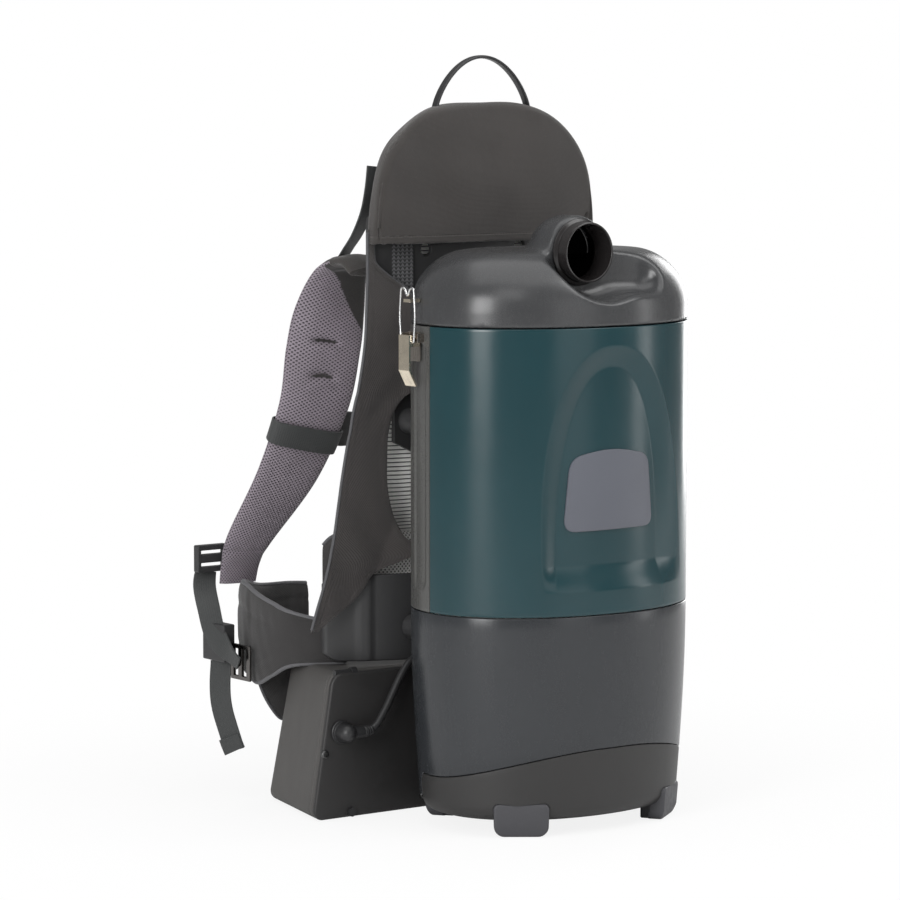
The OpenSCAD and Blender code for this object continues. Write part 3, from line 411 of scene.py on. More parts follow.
class Finish:
    """One material being put together: a Principled shader, and the nodes that feed it."""

    def __init__(self, name, color, rough, **sockets):
        self.material = bpy.data.materials.new(name)
        self.material.use_nodes = True
        self.tree = self.material.node_tree
        self.shader = self.tree.nodes["Principled BSDF"]
        self.shader.inputs["Base Color"].default_value = (*color, 1.0)
        self.shader.inputs["Roughness"].default_value = rough
        for socket, value in sockets.items():
            self.shader.inputs[socket.replace("_", " ")].default_value = value
        self.color, self.rough = color, rough
        self.height = None

    def add(self, kind, inputs=None, **settings):
        """A node with its settings, its inputs given as constants or as other nodes' outputs."""
        node = self.tree.nodes.new("ShaderNode" + kind)
        for key, value in settings.items():
            setattr(node, key, value)
        for key, value in (inputs or {}).items():
            if isinstance(value, bpy.types.NodeSocket):
                self.tree.links.new(value, node.inputs[key])
            else:
                node.inputs[key].default_value = value
        return node

    def math(self, operation, p, q=0.0):
        """A sum, product or other operation on numbers or outputs."""
        return self.add("Math", {0: p, 1: q}, operation=operation).outputs[0]

    def coords(self, scale=(1, 1, 1), flat=False, turn=0.0):
        """Object coordinates in metres, or the flat map's, stretched and turned about Z."""
        where = self.add("TexCoord").outputs["UV" if flat else "Object"]
        turned_by = (0, 0, math.radians(turn))
        return self.add("Mapping", {"Vector": where, "Scale": scale, "Rotation": turned_by}).outputs["Vector"]

    def parts(self, vector):
        """The three numbers of a place."""
        return self.add("SeparateXYZ", {"Vector": vector}).outputs

    def wave(self, value, pitch, kind="SINE"):
        """A wave from -1 to 1 that repeats every pitch metres."""
        return self.math(kind, self.math("MULTIPLY", value, 2 * math.pi / pitch))

    def noise(self, scale, detail=2.0, stretch=(1, 1, 1), rough=0.5):
        """A noise whose size is about 1/scale metres."""
        return self.add("TexNoise", {"Vector": self.coords(stretch), "Scale": scale, "Detail": detail,
                                     "Roughness": rough}).outputs["Fac"]

    def ramp(self, value, low, high, out_low=0.0, out_high=1.0):
        """A smooth S from out_low to out_high as a value goes from low to high."""
        return self.add("MapRange", {"Value": value, "From Min": low, "From Max": high, "To Min": out_low,
                                     "To Max": out_high}, interpolation_type="SMOOTHSTEP").outputs["Result"]

    def blend(self, value, first, second):
        """A colour between two, each an (r, g, b) or an output."""
        node = self.add("Mix", data_type="RGBA")
        self.tree.links.new(value, node.inputs["Factor"])
        for socket, color in ((6, first), (7, second)):
            if isinstance(color, bpy.types.NodeSocket):
                self.tree.links.new(color, node.inputs[socket])
            else:
                node.inputs[socket].default_value = (*color, 1.0)
        return node.outputs[2]

    def patches(self, cloud, low, high):
        """The finish's colour, darkened to low and lightened to high by a cloud's two ends."""
        return self.blend(self.ramp(cloud, 0.3, 0.7), shade(self.color, low), shade(self.color, high))

    def pitted(self, grain_scale):
        """A fine pitted grain, and the roughness that it and faint flow marks give."""
        fine = self.noise(grain_scale, 3.0)
        marks = self.noise(45.0, 5.0, (1, 1, 0.35), 0.65)
        flow = self.ramp(marks, 0.35, 0.75, self.rough - 0.02, self.rough + 0.03)
        return fine, self.math("ADD", flow, self.ramp(fine, 0.3, 0.7, -0.02, 0.02))

    def paint(self, output):
        """Feeds the shader's colour."""
        self.tree.links.new(output, self.shader.inputs["Base Color"])

    def sheen_of(self, output):
        """Feeds the shader's roughness."""
        self.tree.links.new(output, self.shader.inputs["Roughness"])

    def relief(self, height, depth):
        """Adds a bump of some depth in metres, on top of the reliefs before it."""
        node = self.add("Bump", {"Height": height, "Distance": depth, "Strength": 1.0})
        if self.height is not None:
            self.tree.links.new(self.height, node.inputs["Normal"])
        self.height = node.outputs["Normal"]
        self.tree.links.new(self.height, self.shader.inputs["Normal"])
        return self


def shade(color, k):
    """A colour made k times as light, up to white."""
    return tuple(min(1.0, c * k) for c in color)


def moulded(name, color, rough, grain=0.00003, grain_scale=1400.0, **sockets):
    """Moulded plastic: a fine pitted grain, faint flow marks, and patches a little darker or paler."""
    f = Finish(name, color, rough, **sockets)
    f.paint(f.patches(f.noise(9.0, 4.0), 0.95, 1.05))
    fine, dull = f.pitted(grain_scale)
    f.sheen_of(dull)
    f.relief(fine, grain)
    f.relief(f.noise(16.0, 2.0), 0.0002)
    return f.material


def metal(name, color, rough):
    """Plated or turned metal: fine lines drawn out along Z, and small dull spots."""
    f = Finish(name, color, rough, Metallic=1.0)
    lines = f.noise(900.0, 3.0, (1, 1, 1 / 12))
    spots = f.noise(160.0, 4.0)
    drawn = f.ramp(lines, 0.3, 0.7, rough - 0.05, rough + 0.05)
    f.sheen_of(f.math("ADD", drawn, f.ramp(spots, 0.55, 0.75, 0.0, 0.12)))
    f.paint(f.blend(f.ramp(spots, 0.4, 0.8), color, shade(color, 0.82)))
    f.relief(lines, 0.00001)
    return f.material


def woven(name, color, pitch=0.0014, lean=28.0, contrast=0.22, flat=True, hem=()):
    """Twill: rounded diagonal ribs, each broken by its threads, with uneven dye and a little lint, and
    rows of stitches at the heights in hem."""
    f = Finish(name, color, 0.85, Sheen_Weight=0.25, Sheen_Roughness=0.5)
    spot = f.parts(f.coords((1, 1, 1), flat, lean))
    rib, thread = f.wave(spot[0], pitch), f.wave(spot[1], pitch * 0.8)
    weave = f.math("ADD", f.math("MULTIPLY", rib, 0.36), f.math("MULTIPLY_ADD", thread, 0.14))
    weave = f.math("ADD", weave, 0.5)
    cloud = f.noise(14.0, 5.0, (1, 1, 1), 0.6)
    lint = f.noise(420.0, 3.0)
    base = f.patches(cloud, 0.86, 1.16)
    base = f.blend(f.ramp(lint, 0.62, 0.8, 0.0, 0.5), base, shade(color, 1.7))
    base = f.blend(f.ramp(weave, 0.1, 0.9, 0.0, contrast * 2), base, shade(color, 1.0 - contrast * 2))
    for height in hem:
        at = f.parts(f.coords())
        row = f.ramp(f.math("ABSOLUTE", f.math("SUBTRACT", at[2], height)), 0.0003, 0.0009, 1.0, 0.0)
        dash = f.ramp(f.wave(at[0], 0.0034), -0.4, 0.0)
        base = f.blend(f.math("MULTIPLY", row, dash), base, shade(color, 1.5))
        f.relief(row, -0.0005)
    f.paint(base)
    f.relief(weave, 0.00022)
    f.relief(cloud, 0.0012)
    return f.material


def spacer_mesh(name, color, hole, pitch=(0.0042, 0.0036), size=(0.18, 0.42), lines=False, ends=0.0):
    """Spacer mesh: rows of holes, each row half a step on from the last, or open lines, sunk into a knitted face,
    with painted shade as the holes' dark colour. A way along X beyond ends turns it to dark cloth, and so does the
    piece's attribute "dark", which on the shoulder pads also paints shade along the darts."""
    f = Finish(name, color, 0.8, Sheen_Weight=0.3, Sheen_Roughness=0.4)
    spot = f.parts(f.coords((1, 1, 1), True))
    p, q = f.wave(spot[0], pitch[0], "COSINE"), f.wave(spot[1], pitch[1], "COSINE")
    open_ = f.ramp(q if lines else f.math("MULTIPLY", p, q), *size)
    yarn = f.noise(900.0, 3.0)
    base = f.patches(f.noise(20.0, 4.0), 0.9, 1.1)
    base = f.blend(f.ramp(yarn, 0.3, 0.7, 0.0, 0.4), base, shade(color, 1.25))
    dark = f.ramp(f.add("Attribute", attribute_name="dark").outputs["Fac"], 0.3, 0.7)
    if ends:
        across = f.math("ABSOLUTE", f.parts(f.coords())[0])
        dark = f.math("MAXIMUM", dark, f.ramp(across, ends - 0.001, ends + 0.001))
    # painted shade: the holes take the dark hole colour
    face = f.blend(open_, base, hole)
    f.paint(f.blend(dark, face, f.blend(f.ramp(yarn, 0.3, 0.7), (0.024, 0.022, 0.022), (0.036, 0.033, 0.032))))
    f.relief(f.math("MULTIPLY", f.math("SUBTRACT", 1.0, dark), f.math("MULTIPLY", open_, -1.0)), 0.0006)
    f.relief(yarn, 0.00015)
    return f.material


def strap_cloth(name, color, pitch=0.0022, contrast=0.3, light=1.25):
    """Webbing: cords along the strap, crossed by a weft that leans to and fro with them."""
    f = Finish(name, color, 0.62, Sheen_Weight=0.2, Sheen_Roughness=0.4)
    spot = f.parts(f.coords((1, 1, 1), True))
    cords = f.wave(spot[0], pitch)
    lean = f.math("MULTIPLY", spot[1], 2 * math.pi / (pitch * 0.7))
    weft = f.math("SINE", f.math("ADD", lean, f.math("MULTIPLY", cords, 1.6)))
    weave = f.math("ADD", f.math("MULTIPLY", cords, 0.2), f.math("MULTIPLY", weft, 0.25))
    weave = f.math("ADD", weave, 0.5)
    base = f.patches(f.noise(30.0, 4.0), 0.85, 1.2)
    f.paint(f.blend(f.ramp(weave, 0.2, 0.8, 0.0, contrast), shade(color, light), base))
    f.relief(weave, 0.0002)
    return f.material


def rubbery(name, color, rough=0.55):
    """Rubber or cable jacket: even and soft, with fine dust that is paler and duller."""
    f = Finish(name, color, rough, Specular_IOR_Level=0.4)
    dust = f.noise(220.0, 5.0, (1, 1, 1), 0.7)
    f.paint(f.blend(f.ramp(dust, 0.5, 0.85, 0.0, 0.25), color, shade(color, 1.7)))
    f.sheen_of(f.ramp(dust, 0.3, 0.8, rough - 0.06, rough + 0.14))
    f.relief(f.noise(1500.0, 2.0), 0.00003)
    return f.material


def lid_plastic(bore_x=-0.013, bore_z=0.529, reach=0.0262, depth=-0.13):
    """The lid's plastic, with painted shade where the inlet's bore ends against it: dull black inside a cylinder
    along Y with its middle at bore_x and bore_z, in front of depth."""
    f = Finish("lid plastic with painted bore shade", (0.044, 0.045, 0.047), 0.27)
    spot = f.parts(f.coords())
    across, up = f.math("SUBTRACT", spot[0], bore_x), f.math("SUBTRACT", spot[2], bore_z)
    far = f.math("SQRT", f.math("ADD", f.math("MULTIPLY", across, across), f.math("MULTIPLY", up, up)))
    # painted shade: inside the bore's end the lid is painted near black, matte and without specular
    inside = f.math("MULTIPLY", f.math("LESS_THAN", far, reach), f.math("LESS_THAN", spot[1], depth))
    f.paint(f.blend(inside, f.patches(f.noise(9.0, 4.0), 0.95, 1.05), (0.002, 0.002, 0.002)))
    fine, dull = f.pitted(1400.0)
    f.sheen_of(f.math("MAXIMUM", dull, f.math("MULTIPLY", inside, 0.95)))
    f.tree.links.new(f.ramp(inside, 0.0, 1.0, 0.5, 0.0), f.shader.inputs["Specular IOR Level"])
    f.relief(fine, 0.00003)
    f.relief(f.noise(16.0, 2.0), 0.0002)
    return f.material


FINISH = {
    "lid": lid_plastic(),
    "housing": moulded("housing plastic", (0.025, 0.0275, 0.031), 0.26),
    "chamber": moulded("chamber plastic", (0.072, 0.072, 0.069), 0.29),
    "base": moulded("base plastic", (0.024, 0.0232, 0.0228), 0.48, grain=0.00008, grain_scale=900.0),
    "foot": rubbery("foot rubber", (0.058, 0.058, 0.064), 0.5),
    "green": moulded("green cover plastic", (0.0058, 0.0370, 0.0450), 0.22),
    "badge": moulded("badge plate plastic", (0.104, 0.110, 0.132), 0.40),
    "port": moulded("inlet plastic", (0.018, 0.016, 0.016), 0.22, grain_scale=2500.0),
    # painted shade: near black with almost no specular, for the dark inside of the inlet's bore
    "bore": moulded("inlet bore painted shade", (0.002, 0.002, 0.002), 0.9, Specular_IOR_Level=0.03),
    "screw": metal("dark screw", (0.14, 0.14, 0.14), 0.3),
    "dark": moulded("dark moulded plastic", (0.020, 0.020, 0.021), 0.42),
    "harness": moulded("harness plastic", (0.030, 0.030, 0.031), 0.4),
    "box": moulded("battery box plastic", (0.072, 0.069, 0.066), 0.55, grain=0.00009, grain_scale=1000.0),
    # painted shade: the tub's plastic made darker for the cover, for the shadow that the canister casts on it
    "box_front_painted_shade": moulded("battery box front painted shade plastic", (0.024, 0.023, 0.023), 0.52, 0.00007, 1000.0),
    "latch": metal("latch plate", (0.86, 0.77, 0.62), 0.18),
    "latch_foot": metal("latch base plate", (0.34, 0.31, 0.28), 0.3),
    "steel": metal("bright steel", (0.66, 0.66, 0.66), 0.25),
    "glide": metal("dark nickel", (0.16, 0.15, 0.145), 0.22),
    "motor": metal("motor casting", (0.62, 0.62, 0.63), 0.42),
    "copper": metal("copper winding", (0.60, 0.28, 0.11), 0.35),
    "seal": rubbery("seal rubber", (0.012, 0.012, 0.012), 0.6),
    "cable": rubbery("cable jacket", (0.026, 0.026, 0.027), 0.34),
    "twill": woven("pack twill", (0.066, 0.058, 0.056), 0.0015, contrast=0.3),
    "hood": woven("hood cloth", (0.036, 0.0315, 0.0290), 0.0011, 90.0, 0.12, hem=(0.5395,)),
    "belt": woven("belt cloth", (0.032, 0.030, 0.030), 0.0014, 45.0, 0.2),
    "binding": strap_cloth("binding tape", (0.060, 0.060, 0.064), 0.0014, 0.2),
    "belt_edge": strap_cloth("belt edge tape", (0.085, 0.085, 0.090), 0.0014, 0.2),
    "ladder": strap_cloth("ladder webbing", (0.020, 0.020, 0.021), 0.0050, 1.0, 6.0),
    "webbing": strap_cloth("webbing", (0.030, 0.032, 0.032)),
    "pad": spacer_mesh("pad mesh", (0.240, 0.206, 0.238), (0.040, 0.033, 0.041)),
    "lumbar": spacer_mesh("lumbar mesh", (0.74, 0.73, 0.71), (0.08, 0.08, 0.08), ends=0.122),
    "back_mesh": spacer_mesh("back mesh", (0.92, 0.91, 0.87), (0.10, 0.10, 0.095), (0.004, 0.004), (0.5, 0.85),
                             lines=True),
    "filter": woven("filter cloth", (0.62, 0.62, 0.58), 0.0012, 0.0, 0.1, flat=False),
    "paper": woven("bag paper", (0.55, 0.45, 0.30), 0.0009, 0.0, 0.06, flat=False),
    "rocker": moulded("rocker plastic", (0.30, 0.015, 0.012), 0.25, grain_scale=2500.0),
}


def finish_piece(piece, finish, body, slot, *nodes):
    """Gives a piece its finish and body, and hides the CAD nodes that it stands for. The slot is not used."""
    piece.data.materials.clear()
    piece.data.materials.append(FINISH[finish])
    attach(piece, body)
    if nodes:
        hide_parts(*nodes)
    return piece


def finish_node(node, angle, width, finish, slot, body="canister"):
    """Rounds the edges of a CAD node's copy, and gives it its finish and body. The slot is not used."""
    return finish_piece(from_cad(node, angle, width), finish, body, slot, node)


def dress(finish, *nodes):
    """Gives CAD nodes that stay as they are a better material."""
    for node in nodes:
        data = frame["nodes"][node].data
        data.materials.clear()
        data.materials.append(FINISH[finish])


# ---- the canister's plan ---------------------------------------------------------------------------------

HALF_W, HALF_D, PLAN = 137.5, 104.0, 2.1
WAIST, RIM, WALL, UNDER = 202.0, 463.0, 3.0, 14.0


def narrowing(z):
    """The share of the full plan at a height: a sine from 0.93 at the underside to 1 at the waist."""
    s = np.clip((np.asarray(z, float) - UNDER) / (WAIST - UNDER), 0.0, 1.0)
    return 0.93 + 0.07 * np.sin(s * math.pi / 2)


def plan(t, z, inset=0.0, tapered=True):
    """Points of the squared-up ellipse at angles t, heights z and insets, as one array."""
    t, z, inset = np.broadcast_arrays(np.asarray(t, float), np.asarray(z, float), np.asarray(inset, float))
    k = narrowing(z) if tapered else 1.0
    x = (HALF_W * k - inset) * spow(np.cos(t), 2 / PLAN)
    y = (HALF_D * k - inset) * spow(np.sin(t), 2 / PLAN)
    return np.stack([x, y, z], -1)


def from_front(t):
    """Degrees round from the front, which is at -Y."""
    d = np.degrees(t) % 360.0
    return np.minimum(np.abs(d - 270.0), np.abs(d + 90.0))


CAP_REACH = 107.0


def cap_edge(t):
    """Height of the base cap's top edge: level at 78 in front, falling in an S to 50, with the last
    degrees rounded down by a quarter circle."""
    round_ = np.minimum(from_front(t), CAP_REACH)
    end = np.clip((round_ - 102.0) / 5.0, 0.0, 1.0)
    return 78.0 - 28.0 * step(round_, 4.0, 98.0) - 9.0 * (1.0 - np.sqrt(1.0 - end**2))


def lip(r, count=4):
    """Pairs (in, back) along a quarter circle of radius r that rounds an edge over."""
    a = np.linspace(0, math.pi / 2, count)
    return [(r * (1 - math.cos(k)), r * (1 - math.sin(k))) for k in a]


# ---- motor housing, base cap and feet ------------------------------------------------------------------

def housing():
    """The tapered lower shell: rounded at the floor, set back under the cap, and rounded at the waist, with
    five slots through its back."""
    t = np.linspace(0, 2 * math.pi, 240, endpoint=False)
    back = np.where(from_front(t) < CAP_REACH, WALL + 0.3, 0.0)
    edge = cap_edge(t)
    rows = [plan(t, UNDER + 2, 14 + WALL + 0.3)]
    for a in np.linspace(0.2, 1, 6) * math.pi / 2:
        rows.append(plan(t, UNDER + 2 + 12 * math.sin(a), back + (14 + WALL + 0.3 - back) * math.cos(a)))
    rows += [plan(t, edge - 6, back), plan(t, edge + 0.2, back), plan(t, edge + 0.5, np.minimum(back, 1.0)),
             plan(t, edge + 0.9, np.minimum(back, 0.3)), plan(t, edge + 1.7, 0 * back)]
    rows += [plan(t, mix(edge + 1.7, WAIST - 1.3, k), 0) for k in np.linspace(0.08, 1, 12)]
    rows += [plan(t, WAIST - 0.5 - b, a) for a, b in lip(0.8)[1:]]
    rows += [plan(t, WAIST - 0.5, WALL)]
    rows += [plan(t, z, WALL + 3.3) for z in (150, 90, 40, UNDER + 5)]
    body = grid("motor_housing_look", rows)
    slots = []
    for k in range(-2, 3):
        z = 92 + 11 * k
        slots.append(grid("slot", rounded_box((0, HALF_D - 4, z), (66, 40, 5), 2.4, 0.01, "y")))
    cut_out(body, *slots)
    clean(body, 40, False)
    return finish_piece(body, "housing", "canister", "housing_plastic", "motor_housing")


FEET = [(s * 83.9, -67.0, s * 36) for s in (-1, 1)] + [(s * 72, 74, 180 - s * 36) for s in (-1, 1)]


def foot_rows(grow=0.0, radius=2.2):
    """A foot before it is turned: a tab 51 wide and 31 high with round lower corners, facing the front,
    that leans in and narrows towards the floor."""
    half, top, low = 25.5 + grow, 31.0 + grow, -grow
    outline = [corner_arc(sx * (half - 5), top - 5, 5, start, 8) for sx, _, start in CORNERS[:2]]
    outline += [corner_arc(sx * (half - 9), low + 9, 9, start, 8) for sx, _, start in CORNERS[2:]]
    rows = rounded_slab(np.vstack(outline)[::-1, ::-1], -7.5 - grow, 7.5 + grow, radius, "y")
    lean = np.clip(1 - rows[..., 2] / 15.0, 0, 1)
    return rows + np.stack([-0.06 * rows[..., 0] * lean, 4.5 * lean**1.4, 0 * lean], -1)


def turn_z(points, degrees, dx, dy):
    """Points turned about Z and moved in the plan."""
    a = math.radians(degrees)
    x, y, z = points[..., 0], points[..., 1], points[..., 2]
    return np.stack([x * math.cos(a) - y * math.sin(a) + dx, x * math.sin(a) + y * math.cos(a) + dy, z], -1)


def underside(grow):
    """The space of the housing and cap, grown, which the feet are cut back from."""
    t = np.linspace(0, 2 * math.pi, 120, endpoint=False)
    inset = np.where(from_front(t) < CAP_REACH, WALL - grow, -grow)
    rows = [plan(t, UNDER - grow, 14.0)]
    rows += [plan(t, UNDER + 14 * math.sin(a), inset + 14 * (1 - math.sin(a)) * 0.7)
             for a in np.linspace(0.1, 1, 5) * math.pi / 2]
    rows += [plan(t, WAIST, inset)]
    return grid("space", rows)


def feet():
    """Four feet, each a tab on the skirt with a sole reaching in under the housing."""
    tabs, soles = [], []
    for x, y, turn in FEET:
        tabs.append(turn_z(foot_rows(), turn, x, y))
        soles.append(turn_z(rounded_box((0, 12, 6.9), (33, 14, 13.4), 3, 1.2, "z"), turn, x, y))
    pieces = [grid("tab", rows) for rows in tabs]
    for piece in pieces:
        clean(piece)
        cut_out(piece, underside(0.3))
    pieces += [grid("sole", rows) for rows in soles]
    return pieces


def join(name, pieces):
    """One object from several, keeping each one's flat map."""
    for o in bpy.context.selected_objects:
        o.select_set(False)
    for piece in pieces:
        piece.select_set(True)
    bpy.context.view_layer.objects.active = pieces[0]
    bpy.ops.object.join()
    pieces[0].name = name
    pieces[0].data.name = name
    return pieces[0]


def base_cap():
    """The cup round the foot of the housing: a section that rises to the wavy edge, carried round
    107 degrees to each side of the front, with both of its edges rounded."""
    t = np.radians(np.linspace(270 + CAP_REACH, 270 - CAP_REACH, 221))
    edge = cap_edge(t)
    foot = [(UNDER + 14, WALL), (UNDER + 0.2, 14 + WALL), (UNDER, 14 + 1.2)]
    foot += [(UNDER + 14 * (1 - math.cos(a)), 14 * (1 - math.sin(a))) for a in np.linspace(0, 1, 9) * math.pi / 2]
    rows = np.stack([plan(t, z, i) for z, i in foot], 1)
    upper = [(mix(UNDER + 14, edge - 1.2, k), 0.0) for k in np.linspace(0.1, 1, 8)]
    upper += [(edge - b, a) for a, b in lip(1.0)[1:]] + [(edge, WALL)]
    rows = np.concatenate([rows, np.stack([plan(t, z, i) for z, i in upper], 1)], 1)
    cap = grid("base_cap_look", rows)
    clean(cap)
    cut_out(cap, *[grid("foot", turn_z(foot_rows(0.4, 2.0), turn, x, y)) for x, y, turn in FEET])
    clean(cap, 35, False)
    return finish_piece(cap, "base", "canister", "base_plastic", "base_cap")


housing()
base_cap()
finish_piece(clean(join("feet_look", feet()), 35, False), "foot", "canister", "foot_rubber", "feet")


# ---- filter chamber, front cover and badge plate -----------------------------------------------------------

def chamber():
    """The straight shell behind the front cover, set back under the cover at the front, with a shallow
    long panel with round ends sunk into each side behind the seam."""
    t = np.linspace(0, 2 * math.pi, 480, endpoint=False)
    front = np.sin(t) < 0.0015
    s = arc_length(plan(t, 300.0, 0.0, False)[:, 0])
    heights = np.concatenate([[WAIST + 0.4, WAIST + 0.6, WAIST + 1.2], np.linspace(WAIST + 4, RIM - 4, 90),
                              [RIM - 1.2, RIM - 0.6, RIM - 0.4]])
    rows = []
    for z in heights:
        to_end = min(z - WAIST - 0.4, RIM - 0.4 - z)
        round_ = 0.8 - math.sqrt(max(0.0, 0.64 - max(0.0, 0.8 - to_end) ** 2))
        y = plan(t, z, 0.0, False)[:, 1]
        inset = np.where(front, WALL + 0.3 + arch_depth(s, z), 0.0)
        d = corner_distance(np.abs(y - 19.0) - 5.0, np.abs(z - 336.0) - 105.0)
        sunk = 1.3 * (1 - step(d, 5.0, 7.5)) * (y > 4)
        rows.append(plan(t, z, inset + round_ + sunk, False))
    inner = [plan(t, z, 2 * WALL + 6.0, False) for z in (RIM - 0.4, WAIST + 0.4)]
    piece = grid("filter_chamber_look", rows + inner, looped=True)
    clean(piece, 40)
    return finish_piece(piece, "chamber", "canister", "chamber_plastic", "filter_chamber")


def arc_length(x):
    """Way along the front of the plan from its middle to x, by summing short chords."""
    xs = np.linspace(-HALF_W, HALF_W, 4001)
    ys = HALF_D * (1 - np.abs(xs / HALF_W) ** PLAN) ** (1 / PLAN)
    s = np.concatenate([[0], np.cumsum(np.hypot(np.diff(xs), np.diff(ys)))])
    return np.interp(x, xs, s - s[len(s) // 2])


ARCH_FULL, ARCH_FOOT, ARCH_LEDGE = 7.8, 225, 21  # full depth, and where and over what height its foot closes
OUTER_FOOT, OUTER_W, OUTER_H = 232.0, 86.0, 213.0
INNER_FOOT, INNER_W, INNER_H, ARCH_POWER = 247.0, 62.0, 180.0, 2.3


def arch_depth(s, z):
    """How deep the front is at way s round it and height z. The outer and inner outlines are squared
    ellipses; between them the depth runs almost evenly from 0 to full, and a ledge closes the foot."""
    def measure(cs, cz, w, h):
        return (np.abs((s - cs) / w) ** ARCH_POWER + np.maximum((z - cz) / h, 0) ** ARCH_POWER) ** (1 / ARCH_POWER)

    def eased(q):
        return q - 0.12 * np.sin(2 * math.pi * q) / (2 * math.pi)

    leaning = 8.0 - 14.0 * np.clip((z - OUTER_FOOT) / OUTER_H, 0, 1)
    outer = 1 - measure(leaning, OUTER_FOOT, OUTER_W, OUTER_H)
    inner = measure(-3.5, INNER_FOOT, INNER_W, INNER_H) - 1
    reach_out, reach_in = np.maximum(outer, 0) * OUTER_W, np.maximum(inner, 0) * (INNER_W - 1)
    q = reach_out / np.maximum(reach_out + reach_in, 1e-6)
    return ARCH_FULL * eased(q) * eased(np.clip((z - ARCH_FOOT) / ARCH_LEDGE, 0, 1))


def front_cover():
    """The front half of the chamber's skin, 3 mm thick, with the arched panel pressed into it."""
    t = np.radians(np.concatenate([np.linspace(359.9, 340, 24), np.linspace(339.5, 200.5, 330),
                                   np.linspace(200, 180.1, 24)]))
    s = arc_length(plan(t, 300.0, 0.0, False)[:, 0])
    outer = [(WAIST + 0.4, WALL * 0.5), (WAIST + 0.4, 0.8), (WAIST + 0.62, 0.25), (WAIST + 1.2, 0.0)]
    outer += [(z, 0.0) for z in np.linspace(WAIST + 3, RIM - 3, 178)]
    outer += [(RIM - 1.2, 0.0), (RIM - 0.62, 0.25), (RIM - 0.4, 0.8), (RIM - 0.4, WALL * 0.5)]
    rows = np.stack([plan(t, z, i + arch_depth(s, z), False) for z, i in outer], 1)
    heights = np.linspace(RIM - 0.4, WAIST + 0.4, 70)
    deep = np.stack([plan(t, z, WALL + arch_depth(s, z), False) for z in heights], 1)
    piece = grid("front_cover_look", np.concatenate([rows, deep], 1))
    clean(piece, 50)
    return finish_piece(piece, "green", "canister", "cover_green", "front_cover")


BADGE = [(49, 279, 11.0), (42.5, 345, 11.0), (-4, 353.5, 22.0), (-50, 345.5, 14.0), (-57, 278, 13.0)]


def badge():
    """A bare plate, a trapezoid with round corners and a bowed top, lying on the sunk panel. BADGE
    gives each corner's place and how far from it its rounding starts."""
    corners = np.array(BADGE)[:, :2]
    outline = np.vstack([bent_corner(corners[k - 1], corners[k], corners[(k + 1) % len(BADGE)], BADGE[k][2], 8)
                         for k in range(len(BADGE))])
    outline = divided(outline, lambda k, p, q: max(1, int(np.linalg.norm(q - p) / 3.0)))
    centre = outline.mean(0)
    xs = np.linspace(-90, 90, 721)
    levels = [(1.0, -0.6), (1.0, 1.0), (0.995, 1.5), (0.98, 1.8)]
    levels += [(k, 1.9) for k in np.linspace(0.955, 0.02, 16)]
    rows = []
    for scale, rise in levels:
        s, z = (centre + (outline - centre) * scale).T
        x = np.interp(s, arc_length(xs), xs)
        y = -HALF_D * (1 - np.abs(x / HALF_W) ** PLAN) ** (1 / PLAN)
        normal = unit(np.stack([np.sign(x) * np.abs(x / HALF_W) ** (PLAN - 1) / HALF_W,
                                -np.abs(y / HALF_D) ** (PLAN - 1) / HALF_D], 1))
        out = rise - arch_depth(s, z)
        rows.append(np.stack([x + normal[:, 0] * out, y + normal[:, 1] * out, z], 1))
    piece = clean(grid("badge_plate_look", rows), 40)
    return finish_piece(piece, "badge", "canister", "badge_grey", "badge_plate")


chamber()
front_cover()
badge()


# ---- lid ----------------------------------------------------------------------------------------------------

LID_TOP, SHOULDER = 530.0, 52.0
PORT_X, PORT_Z, PORT_Y = -13.0, 529.0, -75.0
BORE, PORT_R, BULGE_R = 25.4, 27.4, 33.0
POCKET_Y, BULGE_BACK = -59.0, -38.0
LID_WALL = 4.6


def dome_field(x, y, z, inset=0.0):
    """Distance to the lid's dome: a squared ellipse in plan, its top edge rounded by a circle, and a
    top that falls a few millimetres from its middle to its sides."""
    r = (np.abs(x / HALF_W) ** PLAN + np.abs(y / HALF_D) ** PLAN) ** (1 / PLAN)
    r = np.maximum(r, 1e-6)
    gx = np.abs(x / HALF_W) ** (PLAN - 1) / (HALF_W * r ** (PLAN - 1))
    gy = np.abs(y / HALF_D) ** (PLAN - 1) / (HALF_D * r ** (PLAN - 1))
    side = (r - 1) / np.maximum(np.hypot(gx, gy), 1e-6) + inset
    crown = LID_TOP + 1.0 - 3.5 * r**2
    top = z - crown + inset
    radius = SHOULDER - inset
    return corner_distance(side + radius, top + radius) - radius


def bulge_field(x, y, z):
    """Distance to the round hump behind the inlet: a bar along Y with a ball at its back end."""
    back = np.maximum(y - BULGE_BACK, 0)
    return np.sqrt((x - PORT_X) ** 2 + (z - PORT_Z) ** 2 + back**2) - BULGE_R


def pocket_field(x, y, z):
    """Below zero in the scoop in front of the hump: a disc round the inlet run together with a round
    block to its right, from a back wall that comes forward and fades out to the right."""
    disc = np.hypot(x - PORT_X, z - PORT_Z) - 43.0
    block = corner_distance(np.abs(x - 22.0) - 22.0, np.abs(z - 534.0) - 24.0) - 19.0
    outline = smooth_min(disc, block, 14.0)
    wall = POCKET_Y + 0.5 - 0.16 * np.maximum(x - 12.0, 0) - 0.0016 * np.maximum(x - 12.0, 0) ** 2
    return smooth_max(outline, y - wall, 18.0)


